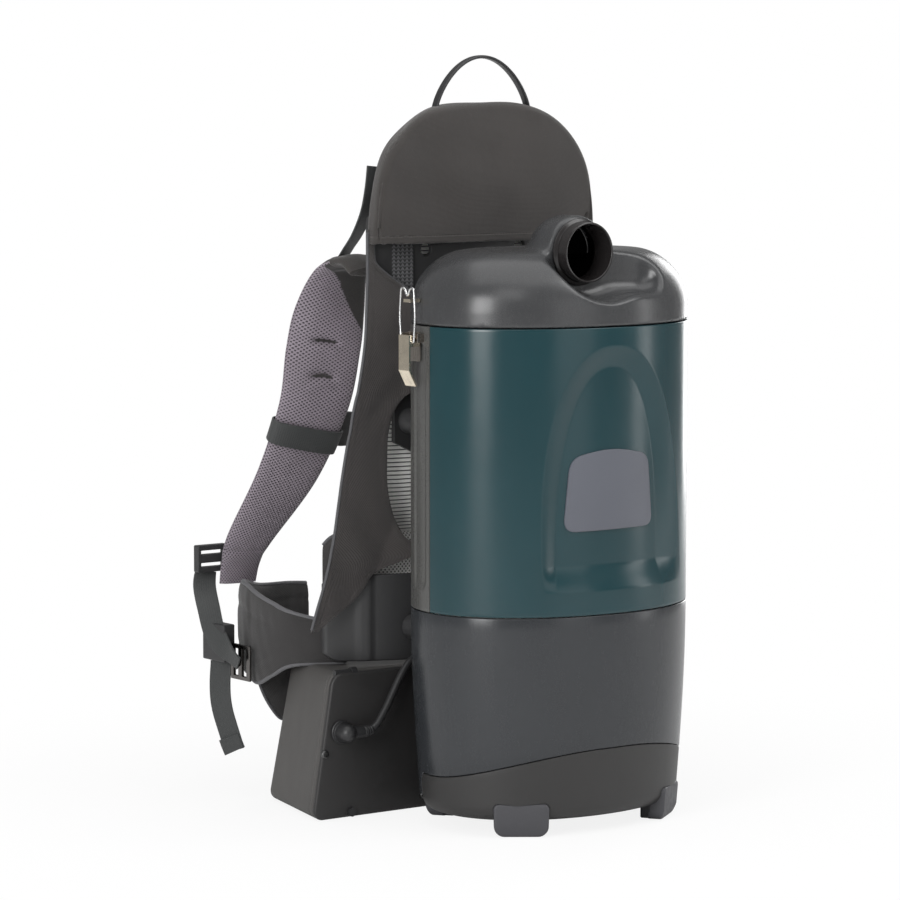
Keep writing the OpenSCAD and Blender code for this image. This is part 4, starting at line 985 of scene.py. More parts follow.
def lid_field(x, y, z):
    """The lid: the dome with the hump run into it and the scoop taken out with a soft lip, hollowed
    inside, cut flat at the seam and bored for the inlet."""
    outside = smooth_min(dome_field(x, y, z), bulge_field(x, y, z), 12.0)
    outside = smooth_max(outside, -pocket_field(x, y, z), 5.5)
    hollow = np.maximum(dome_field(x, y, z, LID_WALL), -pocket_field(x, y, z) + LID_WALL)
    shell = np.maximum(outside, -hollow)
    bore = np.hypot(x - PORT_X, z - PORT_Z) - PORT_R - 0.4
    bore = np.maximum(bore, y - BULGE_BACK)
    return np.maximum(np.maximum(shell, -bore), RIM + 0.6 - z)


def lid():
    """The lid's skin, worked out on a lattice 1.9 mm apart."""
    piece = shell_of("lid_look", lid_field, (-142, -108, RIM - 1.4), (142, 108, 568), 1.9)
    clean(piece)
    return finish_piece(piece, "lid", "lid", "lid_plastic", "lid")


def hose_port():
    """The inlet tube: a turned wall with a rounded mouth and a bead where it meets the scoop."""
    bead = [(9, 0), (-0.3, 0), (-0.4, 2.6), (-1.0, 3.1), (-2.0, 3.1), (-2.6, 2.5), (-3.0, 0.6), (-3.6, 0)]
    mouth = [(1.0, PORT_R), (0.35, PORT_R - 0.2), (0, PORT_R - 0.8), (0.1, BORE + 0.5), (0.6, BORE + 0.05),
             (1.6, BORE)]
    outer = [(POCKET_Y + 9, BORE)] + [(POCKET_Y + y, PORT_R + r) for y, r in bead]
    outer += [(PORT_Y + y, r) for y, r in mouth]
    rows = turned(outer, (PORT_X, 0, PORT_Z), "y")
    piece = grid("hose_port_look", rows, looped=True)
    clean(piece, 35)
    return finish_piece(piece, "port", "lid", "port_plastic", "hose_port")


lid()
hose_port()
# the elbow inside the inlet takes the near-black painted shade of the bore
dress("bore", "inlet_elbow")
dress("dark", "chamber_floor", "bag_collar")
dress("seal", "lid_seal", "motor_gasket")
dress("motor", "motor_case")
dress("steel", "motor_bearings", "armature", "plate_screws")
dress("copper", "stator")
dress("filter", "exhaust_filter", "cloth_filter", "fan_wheel")
dress("paper", "paper_bag")

# ---- latches ---------------------------------------------------------------------------------------------

LATCH_Y, BAIL_X, BAIL_Z, BAR_Z, ARM_Y = 22.0, 146.47, 448.0, 492.2, 9.5


def mirrored(rows):
    """The rows of the right side's piece, from those of the left side's."""
    return (np.asarray(rows, float) * (-1, 1, 1))[:, ::-1]


def both_sides(rows):
    """The name of each side, the sign that its X takes, and its rows."""
    return ("left", 1, rows), ("right", -1, mirrored(rows))


def rounded_path(corners, radius, steps):
    """A path through corners, each rounded by a curve that starts a radius before it."""
    corners = np.asarray(corners, float)
    path = [corners[:1]]
    for p, q, r in zip(corners[:-2], corners[1:-1], corners[2:]):
        cut = min(radius, 0.49 * np.linalg.norm(q - p), 0.49 * np.linalg.norm(r - q))
        path.append(bent_corner(p, q, r, cut, steps))
    return np.vstack(path + [corners[-1:]])


def latches():
    """Base plates, bent levers, wire bails and catches, on both sides of the lid's seam."""
    half = [(ARM_Y - 3.4, BAIL_Z), (ARM_Y, BAIL_Z), (ARM_Y + 2.4, BAIL_Z + 25), (ARM_Y, BAR_Z + 5.0),
            (4.0, BAR_Z + 4.4)]
    wire = [(-BAIL_X, LATCH_Y - y, z) for y, z in half] + [(-BAIL_X, LATCH_Y, BAR_Z - 4.0)]
    wire += [(-BAIL_X, LATCH_Y + y, z) for y, z in half[::-1]]
    for tag, _, shape in both_sides(tube_rows(rounded_path(wire, 8.0, 9), 1.05)):
        bail = clean(grid("latch_bail_%s_look" % tag, shape))
        finish_piece(bail, "steel", "bail_" + tag, "latch_metal", "latch_bail_" + tag)
        finish_node("latch_lever_" + tag, 24, 0.35, "latch", "latch_metal", "lever_" + tag)
    finish_node("latch_bases", 24, 0.4, "latch_foot", "latch_metal")
    finish_node("lid_catches", 24, 0.4, "latch", "latch_metal", "lid")


latches()


# ---- back plate, lumbar shell and webbing strips ------------------------------------------------------

finish_node("back_plate", 30, 1.2, "harness", "harness_plastic")
finish_node("standoffs", 30, 0.6, "harness", "harness_plastic")


def lumbar_y(x):
    """Front of the lumbar shell: flat in the middle, and swept back to its ends as a power of 1.6."""
    return 112 + 38 * (np.maximum(0, np.abs(x) - 60) / 90) ** 1.6


def lumbar_shell():
    """The curved lumbar plate, a 5 mm section carried across, with round edges and a rib down its front."""
    x = np.linspace(-150, 150, 121)
    low, high, thick, edge = 140, 222, 5, 1.8
    corners = ((thick - edge, high - edge, 0), (edge, high - edge, 90), (edge, low + edge, 180),
               (thick - edge, low + edge, 270))
    slab = np.vstack([corner_arc(y, z, edge, start, 6) for y, z, start in corners])
    shrink = np.where(np.abs(x) > 138, 8 * ((np.abs(x) - 138) / 12) ** 2, 0)
    rows = []
    for k, at in enumerate(x):
        z = 181 + (slab[:, 1] - 181) * (1 - shrink[k] / 41)
        rib = 1.6 * (1 - step(np.abs(np.abs(at) - 118), 4, 8))
        y = lumbar_y(at) + slab[:, 0] - np.where(slab[:, 0] < thick / 2, rib, 0)
        rows.append(np.stack([np.full(len(slab), at), y, z], 1))
    piece = clean(grid("lumbar_shell_look", rows), 50)
    return finish_piece(piece, "harness", "canister", "harness_plastic", "lumbar_shell")


def strip(name, places, side, width, thick, finish, *nodes, fold=0.0):
    """Flat webbing along smoothed places, on both sides, with a lengthwise wave of size fold."""
    path = smooth_run(places, 8)
    side = np.asarray(side, float)
    if side.ndim == 2:
        side = unit(smooth_run(side, 8))
    rows = band_rows(path, side, width, thick)
    if fold:
        wave = fold * np.sin(np.linspace(0, 1, len(path)) * 9 + 1)
        rows = rows + rails(path, side)[1][:, None, :] * wave[:, None, None]
    piece = clean(join(name, [grid(name, rows), grid("other", mirrored(rows))]), 50)
    finish_piece(piece, finish, "canister", "webbing", *nodes)


lumbar_shell()
strip("torso_straps_look", [(-84, 116.7, z) for z in (456.5, 500, 560, 605)], (1, 0, 0), 25, 2.0,
      "ladder", "torso_straps")


# ---- swollen pieces --------------------------------------------------------------------------------------

SWELL_FRAMES, STIFF = 20, 12.0


def swell(rows, held, pressure, cap):
    """Rows pushed outwards by Blender's Cloth under pressure, with the points where held is true kept still, and
    no point moved further than cap millimetres."""
    rows = np.asarray(rows, float)
    m, n, _ = rows.shape
    piece = clean(grid("swell", rows), None, False)
    mesh = piece.data
    count = len(mesh.vertices)
    start = np.zeros(count * 3, np.float32)
    mesh.vertices.foreach_get("co", start)
    group = piece.vertex_groups.new(name="held")
    group.add([int(k) for k in np.flatnonzero(np.asarray(held).ravel())], 1.0, "REPLACE")
    cloth = piece.modifiers.new("cloth", "CLOTH")
    s = cloth.settings
    s.quality, s.mass, s.bending_stiffness = 6, 0.25, 2.0
    s.tension_stiffness = s.compression_stiffness = s.shear_stiffness = STIFF
    s.use_pressure, s.uniform_pressure_force = True, pressure
    s.vertex_group_mass = "held"
    s.effector_weights.gravity = 0.0
    cloth.point_cache.frame_start, cloth.point_cache.frame_end = 1, SWELL_FRAMES
    scene = bpy.context.scene
    for k in range(1, SWELL_FRAMES + 1):
        scene.frame_set(k)
    seen = piece.evaluated_get(bpy.context.evaluated_depsgraph_get())
    end = np.zeros(count * 3, np.float32)
    seen.data.vertices.foreach_get("co", end)
    bpy.data.objects.remove(piece)
    scene.frame_set(1)
    moved = (end - start).reshape(-1, 3)[: m * n] / MM
    length = np.linalg.norm(moved, axis=1, keepdims=True)
    moved = moved * np.minimum(1.0, cap / np.maximum(length, 1e-6))
    return rows + moved.reshape(m, n, 3)


def finer(piece):
    """One live subdivision, the same in the viewport and the render."""
    sub = piece.modifiers.new("finer", "SUBSURF")
    sub.levels = sub.render_levels = 1
    return piece


def marked(piece, dark):
    """Gives a banded piece the attribute "dark", one number for each of its points."""
    layer = piece.data.attributes.new("dark", "FLOAT", "POINT")
    values = np.zeros(len(piece.data.vertices), np.float32)
    values[: dark.size] = np.asarray(dark, np.float32).ravel()
    layer.data.foreach_set("value", values)
    return piece


def piping(name, rows, radius, out, finish, slot):
    """One piece of two tubes, along the two long edges of a band and a way out from them."""
    tubes = []
    for k in (0, rows.shape[1] // 2):
        line = 0.5 * (rows[:, k] + rows[:, k - 1])
        inward = unit(rows.mean(1) - line)
        tubes.append(clean(grid("tube", tube_rows(line - inward * out, radius, 10))))
    finish_piece(join(name, tubes), finish, "canister", slot)


def stations(places, steps):
    """A padded band's smoothed path, its side directions, widths and thicknesses."""
    run = smooth_run(places, steps)
    return run[:, :3], unit(run[:, 3:6]), run[:, 6], run[:, 7]


def swollen_band(places, steps, count, power, plump, pressure, cap, ends=(2, 2), level=False):
    """A padded band swollen by the cloth between its held edges and ends: its rows, its direction out,
    the way along it in stations, and its section's cosines and sines. A level band's section is square
    to its path as seen from above."""
    path, side, width, thick = stations(places, steps)
    across, out = rails(path * (1, 1, 0) + (0, 0, 150.0) if level else path, side)
    c, s = section(count, power)
    rows = (path[:, None] + across[:, None] * (width / 2)[:, None, None] * c[None, :, None]
            + out[:, None] * (thick / 2 * plump)[:, None, None] * s[None, :, None])
    held = np.zeros(rows.shape[:2], bool)
    held[:, [0, -1, count // 2, count // 2 - 1]] = True
    held[: ends[0]] = held[-ends[1] :] = True
    return swell(rows, held, pressure, cap), out, np.arange(len(path))[:, None] / steps, c[None, :], s[None, :]


# ---- shoulder pads ------------------------------------------------------------------------------------------

# Each station: its place, the direction across it, its width and its thickness.
PAD = [(-110, 134, 506, -1, 0, 0, 42, 10), (-111.5, 150, 516, -1, 0, 0, 46, 12),
       (-113.5, 172, 505, -1, 0.05, 0, 57, 14), (-120, 182.6, 468, -0.98, 0.2, 0, 70, 14),
       (-125, 187.3, 430, -0.94, 0.3, 0, 72, 14), (-129, 197, 378, -0.93, 0.3, 0, 68, 14),
       (-137, 228.4, 312, -0.95, 0.2, 0.1, 62, 14), (-153.5, 270, 247, -0.97, 0.1, 0.15, 48, 13),
       (-155, 284, 222, -0.98, 0.1, 0, 41, 10), (-154.5, 291, 201, -1, 0.1, 0, 38, 8)]
PAD_STEPS = 18
DARTS = ((3.77, 0.42, 0.0), (4.47, 0.38, -0.05))  # way along in stations, half length, shift across


def shoulder_pads():
    """Both pads: a band that swells between its bound edges, with two sewn darts that have painted shade along
    them and a crease, and dark yoke cloth over its upper end and down its inner edge."""
    rows, out, j, w, face = swollen_band(PAD, PAD_STEPS, 56, 0.75, 0.8, 4.0, 3.2, (4, 3))
    groove = dark = 0.0
    for at, reach, shift in DARTS:
        off = (j - at - 0.06 * ((w - shift) / reach) ** 2) * 46
        ends = 1 - step(np.abs(w - shift), reach - 0.12, reach)
        groove = groove + (5.5 * np.exp(-((off / 2.8) ** 2)) - 1.8 * np.exp(-(((off - 6) / 3.5) ** 2))) * ends
        # painted shade: each dart's line is painted dark through the attribute "dark", which also holds the real
        # dark yoke cloth
        dark = np.maximum(dark, np.exp(-((off / 1.9) ** 2)) * ends)
    dark = np.maximum(dark, step(1.75 + 1.7 * (0.5 - 0.5 * w) ** 1.5 - j, -0.12, 0.12))
    groove = groove + 1.6 * np.exp(-(((j - 7.35 - 0.1 * w) * 70 / 4.0) ** 2))
    soft = 0.35 * ripple(j * 4.2, w * 2.0, 3)
    push = (soft - groove) * np.abs(face) ** 0.5 * np.sign(face)
    for tag, mirror, shape in both_sides(rows + out[:, None] * push[..., None]):
        pad = clean(finer(marked(grid("shoulder_pad_%s_look" % tag, shape), dark[:, ::mirror])), None)
        finish_piece(pad, "pad", "canister", "pad_mesh", "shoulder_pad_" + tag)
        piping("pad_binding_" + tag, shape[2:], 1.2, -0.5, "pad", "pad_mesh")
        top = shape[: int(1.5 * PAD_STEPS)]
        middle = top.mean(1, keepdims=True)
        grown = 1 + 1.3 / np.maximum(np.linalg.norm(top - middle, axis=2, keepdims=True), 4)
        yoke = clean(grid("pad_yoke_" + tag, middle + (top - middle) * grown), 50)
        finish_piece(finer(yoke), "hood", "canister", "pack_fabric")


def sternum():
    """The band round each pad, its slider, and the strap between the sliders."""
    path, side, width, thick = stations(PAD, 20)
    across, out = rails(path, side)
    c, s = section(72, 0.6)
    shares = [0.3, 0.3 + 0.006, *np.linspace(0.315, 0.605, 9), 0.614, 0.62]
    rows = []
    for share, grow in zip(shares, [1.6, 2.6] + 9 * [2.8] + [2.6, 1.6]):
        i, f = divmod(100 + share * 20, 1)
        p, a, o, w, h = (v[int(i)] * (1 - f) + v[int(i) + 1] * f for v in (path, across, out, width, thick))
        rows.append(p + a * (w / 2 + grow) * c[:, None] + o * (h / 2 + grow) * s[:, None])
    pieces = [grid("sternum_bands_look", rows, looped=True), grid("other", mirrored(rows), looped=True)]
    bands = clean(join("sternum_bands_look", pieces), 40)
    finish_piece(bands, "webbing", "canister", "webbing", "sternum_bands")
    finish_node("sternum_sliders", 30, 1.6, "harness", "harness_plastic")
    u = np.linspace(-1, 1, 41)
    sag = (1 - u * u) ** 2
    line = np.stack([74.4 * u, 209 + 4 * sag, 352 - 7 * sag], 1)
    strap = clean(grid("sternum_strap_look", band_rows(line, (0, 0, 1), 20.0, 2.0)), 50)
    finish_piece(strap, "webbing", "canister", "webbing", "sternum_strap")


shoulder_pads()
sternum()
strip("load_lifters_look",
      [(-106, 128.2, 604), (-108, 129.4, 584), (-112, 133.6, 562), (-116, 143.6, 541), (-118, 155.6, 527),
       (-118, 163.5, 519.5), (-118, 170, 514)],
      [(1, 0.05, 0), (1, 0.1, 0), (0.95, 0.3, 0), (0.9, 0.42, 0), (0.87, 0.48, 0), (0.85, 0.5, 0), (0.85, 0.5, 0)],
      20, 2.0, "webbing", "load_lifters")


# ---- back pad, lumbar pad and side panels ------------------------------------------------------------------

def cushion(node, places, steps, count, finish, seam, seed):
    """A swollen band with piping along its edges, sewn along a seam, given as its depth, its share of
    the half width and its own half width."""
    rows, out, j, c, s = swollen_band(places, steps, count, 0.7, 0.86, 3.0, 2.0)
    depth, at, wide = seam
    push = 0.4 * ripple(j * 3.0, c * 2.5, seed) * np.abs(s) ** 0.5
    push = push - depth * np.exp(-(((np.abs(c) - at) / wide) ** 2))
    rows = rows + out[:, None] * (push * np.sign(s))[..., None]
    pad = clean(finer(grid(node + "_look", rows)), None)
    finish_piece(pad, finish, "canister", "pad_mesh", node)
    piping(node + "_binding", rows[1:-1], 2.0, 0.2, "binding", "pack_fabric")


def back_and_lumbar():
    """The back pad, sewn down two lines, and the lumbar pad, sewn along its middle."""
    back = [(0, 135, z, 1, 0, 0, wide, thick) for z, wide, thick in (
        (259, 150, 10), (298, 200, 17), (400, 206, 17), (470, 170, 17), (540, 150, 15), (588, 120, 10))]
    cushion("back_pad", back, 14, 72, "back_mesh", (3.0, 0.42, 0.05), 13)
    ends = ((141, 44, 13), (128, 66, 19), (90, 70, 22), (45, 70, 22))
    across = [(-x, wide, thick) for x, wide, thick in ends] + [(0, 70, 22)] + [*ends[::-1]]
    lumbar = [(x, lumbar_y(x) + 22.4, 225, 0, 0, 1, wide, thick) for x, wide, thick in across]
    cushion("lumbar_pad", lumbar, 10, 56, "lumbar", (3.5, 0.0, 0.07), 15)


# Each row: its height, its outer edge and its inner edge.
PANEL = [(546, -126, -118.5), (521, -126, -118.5), (513, -126, -115), (503, -126, -102), (491, -126.5, -84),
         (478, -127, -76), (440, -129, -72), (400, -136, -74), (388, -139.5, -86), (374.6, -143, -97),
         (359, -146, -102), (343, -150, -104), (300, -158, -103), (262, -161.5, -88), (250, -163, -76),
         (240, -164, -75), (233, -165, -92), (224, -166.5, -112), (208, -169.5, -124), (195, -172.5, -137),
         (172, -177, -170)]


def panel_y(x, z):
    """Front of the side panels: along the back plate, then swept back by 20 mm towards their foot."""
    return np.minimum(lumbar_y(x), 118 + 20 * (np.maximum(0, 300 - z) / 128.0) ** 1.3) - 4.8


def side_panels():
    """The cloth side panels: a thin band cut to the outline, with shallow folds towards the waist, drag
    lines above it, a turned hem 7 mm in from each edge, and piping along the outer edge and round the
    cut-away upper corner."""
    z, x0, x1 = smooth_run(PANEL, 14).T
    tall, left, right = z[:, None], x0[:, None], x1[:, None]
    c, s = section(60, 0.9, 0.35)
    share = (0.5 + 0.5 * c)[None, :]
    x = mix(left, right, share)
    middle = np.sin(math.pi * share)
    fold = 1.6 * np.sin((x + 0.9 * tall) / 11.0) * (1 - step(z, 250, 330))[:, None] * middle
    fold = fold + 0.5 * ripple(x / 30.0, tall / 55.0, 8) * middle
    near = np.exp(-(((z - 395) / 42.0) ** 2))[:, None]
    drag = 2.0 * np.sin((0.55 * x - tall) / 7.5 + 1.5 * np.sin(x / 20.0)) * near
    fold = fold + drag * share * middle**0.7
    inset = np.minimum(x - left, right - x)
    half = np.where(inset < 7.0, 1.55, 1.15) - np.maximum(1 - np.abs(inset - 7.0), 0) * 0.5
    y = panel_y(x, tall) - np.clip(fold, -2.2, 2.2) + half * s[None, :]
    for tag, mirror, shape in both_sides(np.stack([x, y, np.broadcast_to(tall, x.shape)], 2)):
        panel = clean(grid("side_panel_%s_look" % tag, shape), 60)
        finish_piece(panel, "twill", "canister", "pack_fabric", "side_panel_" + tag)
        line = np.stack([mirror * x0, panel_y(x0, z), z], 1)[2:-2]
        seam = np.stack([mirror * x1, panel_y(x1, z), z], 1)[z > 474][2:]
        tubes = [clean(grid("tube", tube_rows(line, 1.5, 12))), clean(grid("tube", tube_rows(seam, 1.2, 10)))]
        finish_piece(join("panel_piping_" + tag, tubes), "binding", "canister", "pack_fabric")


def plate_shoulders():
    """The back plate's shoulders behind the panels: flat slabs with round corners and soft edges."""
    for tag, sign in (("left", -1), ("right", 1)):
        slab = rounded_box((sign * 100, 118.4, 528), (46, 5, 62), 6, 1.0, "y")
        finish_piece(clean(grid("plate_shoulder_" + tag, slab)), "harness", "canister", "harness_plastic")


back_and_lumbar()
plate_shoulders()
side_panels()


# ---- hood and carry handle ---------------------------------------------------------------------------------

HOOD_HALF, HOOD_TOP, HOOD_Z, HOOD_Y0, HOOD_Y1, HOOD_X = 130.0, 664.0, 532.0, 95.0, 118.0, 4.0
ARCH = 2.7


def arch_distance(x, z, inset):
    """Roughly the distance outside the hood's outline, a superellipse of power 2.7 over its hem."""
    x, w, h = x - HOOD_X, HOOD_HALF - inset, HOOD_TOP - HOOD_Z - inset
    up = np.maximum(z - HOOD_Z, 0)
    r = np.maximum((np.abs(x / w) ** ARCH + (up / h) ** ARCH) ** (1 / ARCH), 1e-6)
    slope = np.hypot(np.abs(x / w) ** (ARCH - 1) / (w * r ** (ARCH - 1)),
                     (up / h) ** (ARCH - 1) / (h * r ** (ARCH - 1)))
    return (r - 1) / np.maximum(slope, 1e-4)


def hood_field(x, y, z):
    """The hood: a cloth sleeve with a round front edge over a crowned front, its faces a little
    wrinkled, hollow and open along its hem."""
    wave = ripple(x / 38.0, z / 26.0, 5)
    wave = wave + 0.9 * np.sin(x / 23.0 + 2 * np.sin(z / 40.0)) * (1 - step(z, 540, 590))
    crown = 5.0 * np.clip(1 - (x / HOOD_HALF) ** 2, 0, 1) * np.clip(1 - ((z - 590) / 90.0) ** 2, 0, 1)
    front = HOOD_Y0 + 4.5 - crown + wave - y
    side = arch_distance(x, z, 1.2) + 0.9 * ripple(y / 14.0, z / 25.0 + x / 32.0, 9)
    edge = corner_distance(side + 6.5, front + 6.5) - 6.5
    outside = smooth_max(edge, y - HOOD_Y1, 5.0)
    inside = np.maximum(arch_distance(x, z, 5.0), HOOD_Y0 + 8.5 - crown - y)
    inside = np.maximum(inside, y - (HOOD_Y1 - 4.4))
    return np.maximum(np.maximum(outside, -inside), HOOD_Z + 0.4 - z)


def drape_map(piece):
    """A flat map from the place of each point: x + y across and z + y up, in metres."""
    mesh = piece.data
    co = np.zeros(len(mesh.vertices) * 3, np.float32)
    mesh.vertices.foreach_get("co", co)
    index = np.zeros(len(mesh.loops), np.int32)
    mesh.loops.foreach_get("vertex_index", index)
    co = co.reshape(-1, 3)[index]
    flat = np.stack([co[:, 0] + co[:, 1], co[:, 2] + co[:, 1]], 1)
    mesh.uv_layers.new(name="flat").data.foreach_set("uv", flat.astype(np.float32).ravel())


def hood():
    """The hood and the piping round its front edge."""
    piece = shell_of("hood_look", hood_field, (-129, 84, HOOD_Z - 1.6), (137, 122, HOOD_TOP + 3), 1.9)
    drape_map(clean(piece, 60))
    finish_piece(piece, "hood", "canister", "pack_fabric", "hood")
    a = np.linspace(0.06, math.pi - 0.06, 90)
    line = np.stack([HOOD_X + (HOOD_HALF - 4.4) * spow(np.cos(a), 2 / ARCH), np.full(90, HOOD_Y0 + 6.2),
                     HOOD_Z + (HOOD_TOP - HOOD_Z - 4.4) * spow(np.sin(a), 2 / ARCH)], 1)
    finish_piece(clean(grid("hood_piping", tube_rows(line, 1.2, 12))), "hood", "canister", "pack_fabric")


def carry_handle():
    """The carry handle: a flat-oval loop of webbing over the hood, on two sewn feet."""
    foot = HOOD_Z + (HOOD_TOP - HOOD_Z) * (1 - (54 / HOOD_HALF) ** ARCH) ** (1 / ARCH)
    t = np.radians(np.linspace(0, 180, 61))
    line = np.stack([HOOD_X + 54 * np.cos(t), np.full(61, 111.0), foot - 1.5 + (707 - foot) * np.sin(t) ** 1.5], 1)
    rows = band_rows(line, (0, 1, 0), 9.0, 3.2, 28, 0.7)
    piece = clean(grid("carry_handle_look", rows), 60)
    finish_piece(piece, "cable", "canister", "webbing", "carry_handle")


hood()
carry_handle()


# ---- lower straps, hip belt and buckles ----------------------------------------------------------------------

LOWER = [(-184, 302, 213), (-186, 301, 198), (-189, 289, 178), (-195, 269, 157), (-194, 250, 142),
         (-188.7, 238, 131)]
BELT = [(-124, 149, 154, 0, 0, 1, 34, 9), (-163.5, 180.6, 159, 0, 0, 1, 48, 11), (-172, 205, 157, 0, 0, 1, 68, 12),
        (-173, 228, 155, 0, 0, 1, 84, 12), (-171.5, 246, 161, 0, 0, 1, 84, 12), (-160, 273, 165, 0, 0, 1, 78, 12),
        (-124, 298, 162, 0, 0, 1, 66, 12), (-86, 306, 163, 0, 0, 1, 60, 10), (-62, 308, 164, 0, 0, 1, 54, 8)]
GUSSET = [(172, -172, -112), (160, -172, -108), (136, -171, -104), (117, -169, -102), (100, -162, -102),
          (86, -153, -104), (75, -143, -112), (72, -134, -120)]


def belt_gussets():
    """The belt's lower cloth behind the battery box, on both sides: a thin pad cut to an outline that
    runs in towards its foot, puffed by up to 3 mm, with two sewn lines across it."""
    z, x0, x1 = smooth_run(GUSSET, 8).T
    tall = z[:, None]
    c, s = section(44, 0.9, 0.5)
    share = 0.5 + 0.5 * c[None, :]
    x = mix(x0[:, None], x1[:, None], share)
    end = np.sin(math.pi * np.linspace(0.02, 0.98, len(z))) ** 0.4
    seam = np.exp(-(((x + 0.8 * tall + 45) / 2.2) ** 2)) + np.exp(-(((x - 0.9 * tall + 240) / 2.2) ** 2))
    half = (1.2 + 3.0 * end[:, None] * np.sin(math.pi * share) ** 0.5 - 1.3 * seam).clip(0.9)
    middle = 232.5 + 0.05 * (160 - z)
    rows = np.stack([x, middle[:, None] + half * s[None, :], np.broadcast_to(tall, x.shape)], 2)
    for tag, mirror, shape in both_sides(rows):
        finish_piece(clean(grid("belt_gusset_" + tag, shape), 60), "belt", "canister", "belt_fabric")
        edge = tube_rows(np.stack([mirror * x0, middle, z], 1)[1:-1], 1.6, 12)
        finish_piece(clean(grid("gusset_binding_" + tag, edge)), "binding", "canister", "belt_fabric")


def belt_wings():
    """Both belt wings: swollen bands of belt cloth with two sewn lines and a lighter binding."""
    rows, out, j, c, s = swollen_band(BELT, 12, 64, 0.7, 0.85, 3.0, 1.6, level=True)
    lines = 1.6 * np.exp(-(((np.abs(c) - 0.5) / 0.05) ** 2)) * step(j, 1.6, 2.2)
    push = 0.4 * ripple(j * 3.4, c * 3.0, 4) * np.abs(s) ** 0.5 - lines
    for tag, _, shape in both_sides(rows + out[:, None] * (push * np.sign(s))[..., None]):
        wing = clean(finer(grid("belt_wing_%s_look" % tag, shape)), None)
        finish_piece(wing, "belt", "canister", "belt_fabric", "belt_wing_" + tag)
        piping("belt_binding_" + tag, shape[1:-1], 2.2, 0.2, "belt_edge", "belt_fabric")


belt_gussets()
belt_wings()
strip("lower_straps_look", LOWER,
      [(-1, 0.15, 0), (-0.9, 0.45, 0), (-0.6, 0.8, 0), (-0.35, 0.94, 0), (-0.1, 1, 0), (0, 1, 0)],
      22, 2.0, "webbing", "lower_straps")
strip("belt_straps_look", [(-187, 272, 129.4), (-188, 271, 108), (-188, 267, 80), (-181, 257, 44)],
      (-0.35, 0.94, 0), 24, 2.0, "webbing", "belt_straps", fold=0.8)
strip("belt_strap_ends", [(-184, 262, 57), (-182.6, 259.6, 50), (-181, 257, 43.4)], (-0.35, 0.94, 0),
      24.6, 4.2, "webbing")
for part in ("ladder_locks", "waist_buckle_socket", "waist_buckle_clip"):
    finish_node(part, 30, 1.1, "harness", "harness_plastic")
finish_node("belt_glides", 30, 0.7, "glide", "steel")


# ---- battery box -----------------------------------------------------------------------------------------------

BOX_W, BOX_H, BOX_D, BOX_Y, COVER_T = 392.0, 136.0, 124.0, 103.4, 6.0
TUB_FRONT = (COVER_T + 0.3) / BOX_D


def box_half(f, s):
    """Half width of the box at a share f of its height and s of its depth."""
    return mix(mix(BOX_W / 2, BOX_W / 2 - 23, f), mix(BOX_W / 2 - 31, BOX_W / 2 - 23 - 31 + 8, f), s)


BOX_CORNER, ARC_POINTS = 11.0, 10
SIDE_PARTS = {9: 26, 19: 9, 29: 26, 39: 9}  # how many parts the straight sides between the arcs are cut into


def box_ring(s, inset=0.0):
    """An outline of the box at a share s of its depth: a tapered rectangle with round corners."""
    half, tall = box_half(0.5, s) - BOX_CORNER, BOX_H / 2 - BOX_CORNER
    flat = np.vstack([corner_arc(sx * half, sz * tall, BOX_CORNER - inset, start, ARC_POINTS)
                      for sx, sz, start in CORNERS])
    flat = divided(flat, lambda k, p, q: SIDE_PARTS.get(k, 1))
    z = flat[:, 1] + BOX_H / 2
    f = z / BOX_H
    x = flat[:, 0] * box_half(f, s) / box_half(0.5, s)
    return np.stack([x, BOX_Y + s * BOX_D - np.maximum(0, s - TUB_FRONT) * 21 * f, z], 1)


SCREWS = ((-183, 62), (183, 62), (-70, 12), (70, 12), (-70, 124), (70, 124))
SCREW_PROFILE = ((4, 1.6), (-0.05, 1.6), (-0.05, 4.0), (-1.4, 4.0), (-2.1, 3.6), (-2.5, 2.9), (-2.5, 2.0),
                 (-1.0, 1.8), (-1.0, 0.3))
SWITCH_X, SWITCH_Z = 150, 92
# The ends and radius of each pin on the box's left side.
PINS = (((168, 108.5, 136.0), (149, 108.5, 136.0), 2.8), ((150, 108.5, 136.0), (144.5, 108.5, 136.0), 4.4),
        ((153, 104.5, 4.7), (153, 100.8, 4.7), 4.2))


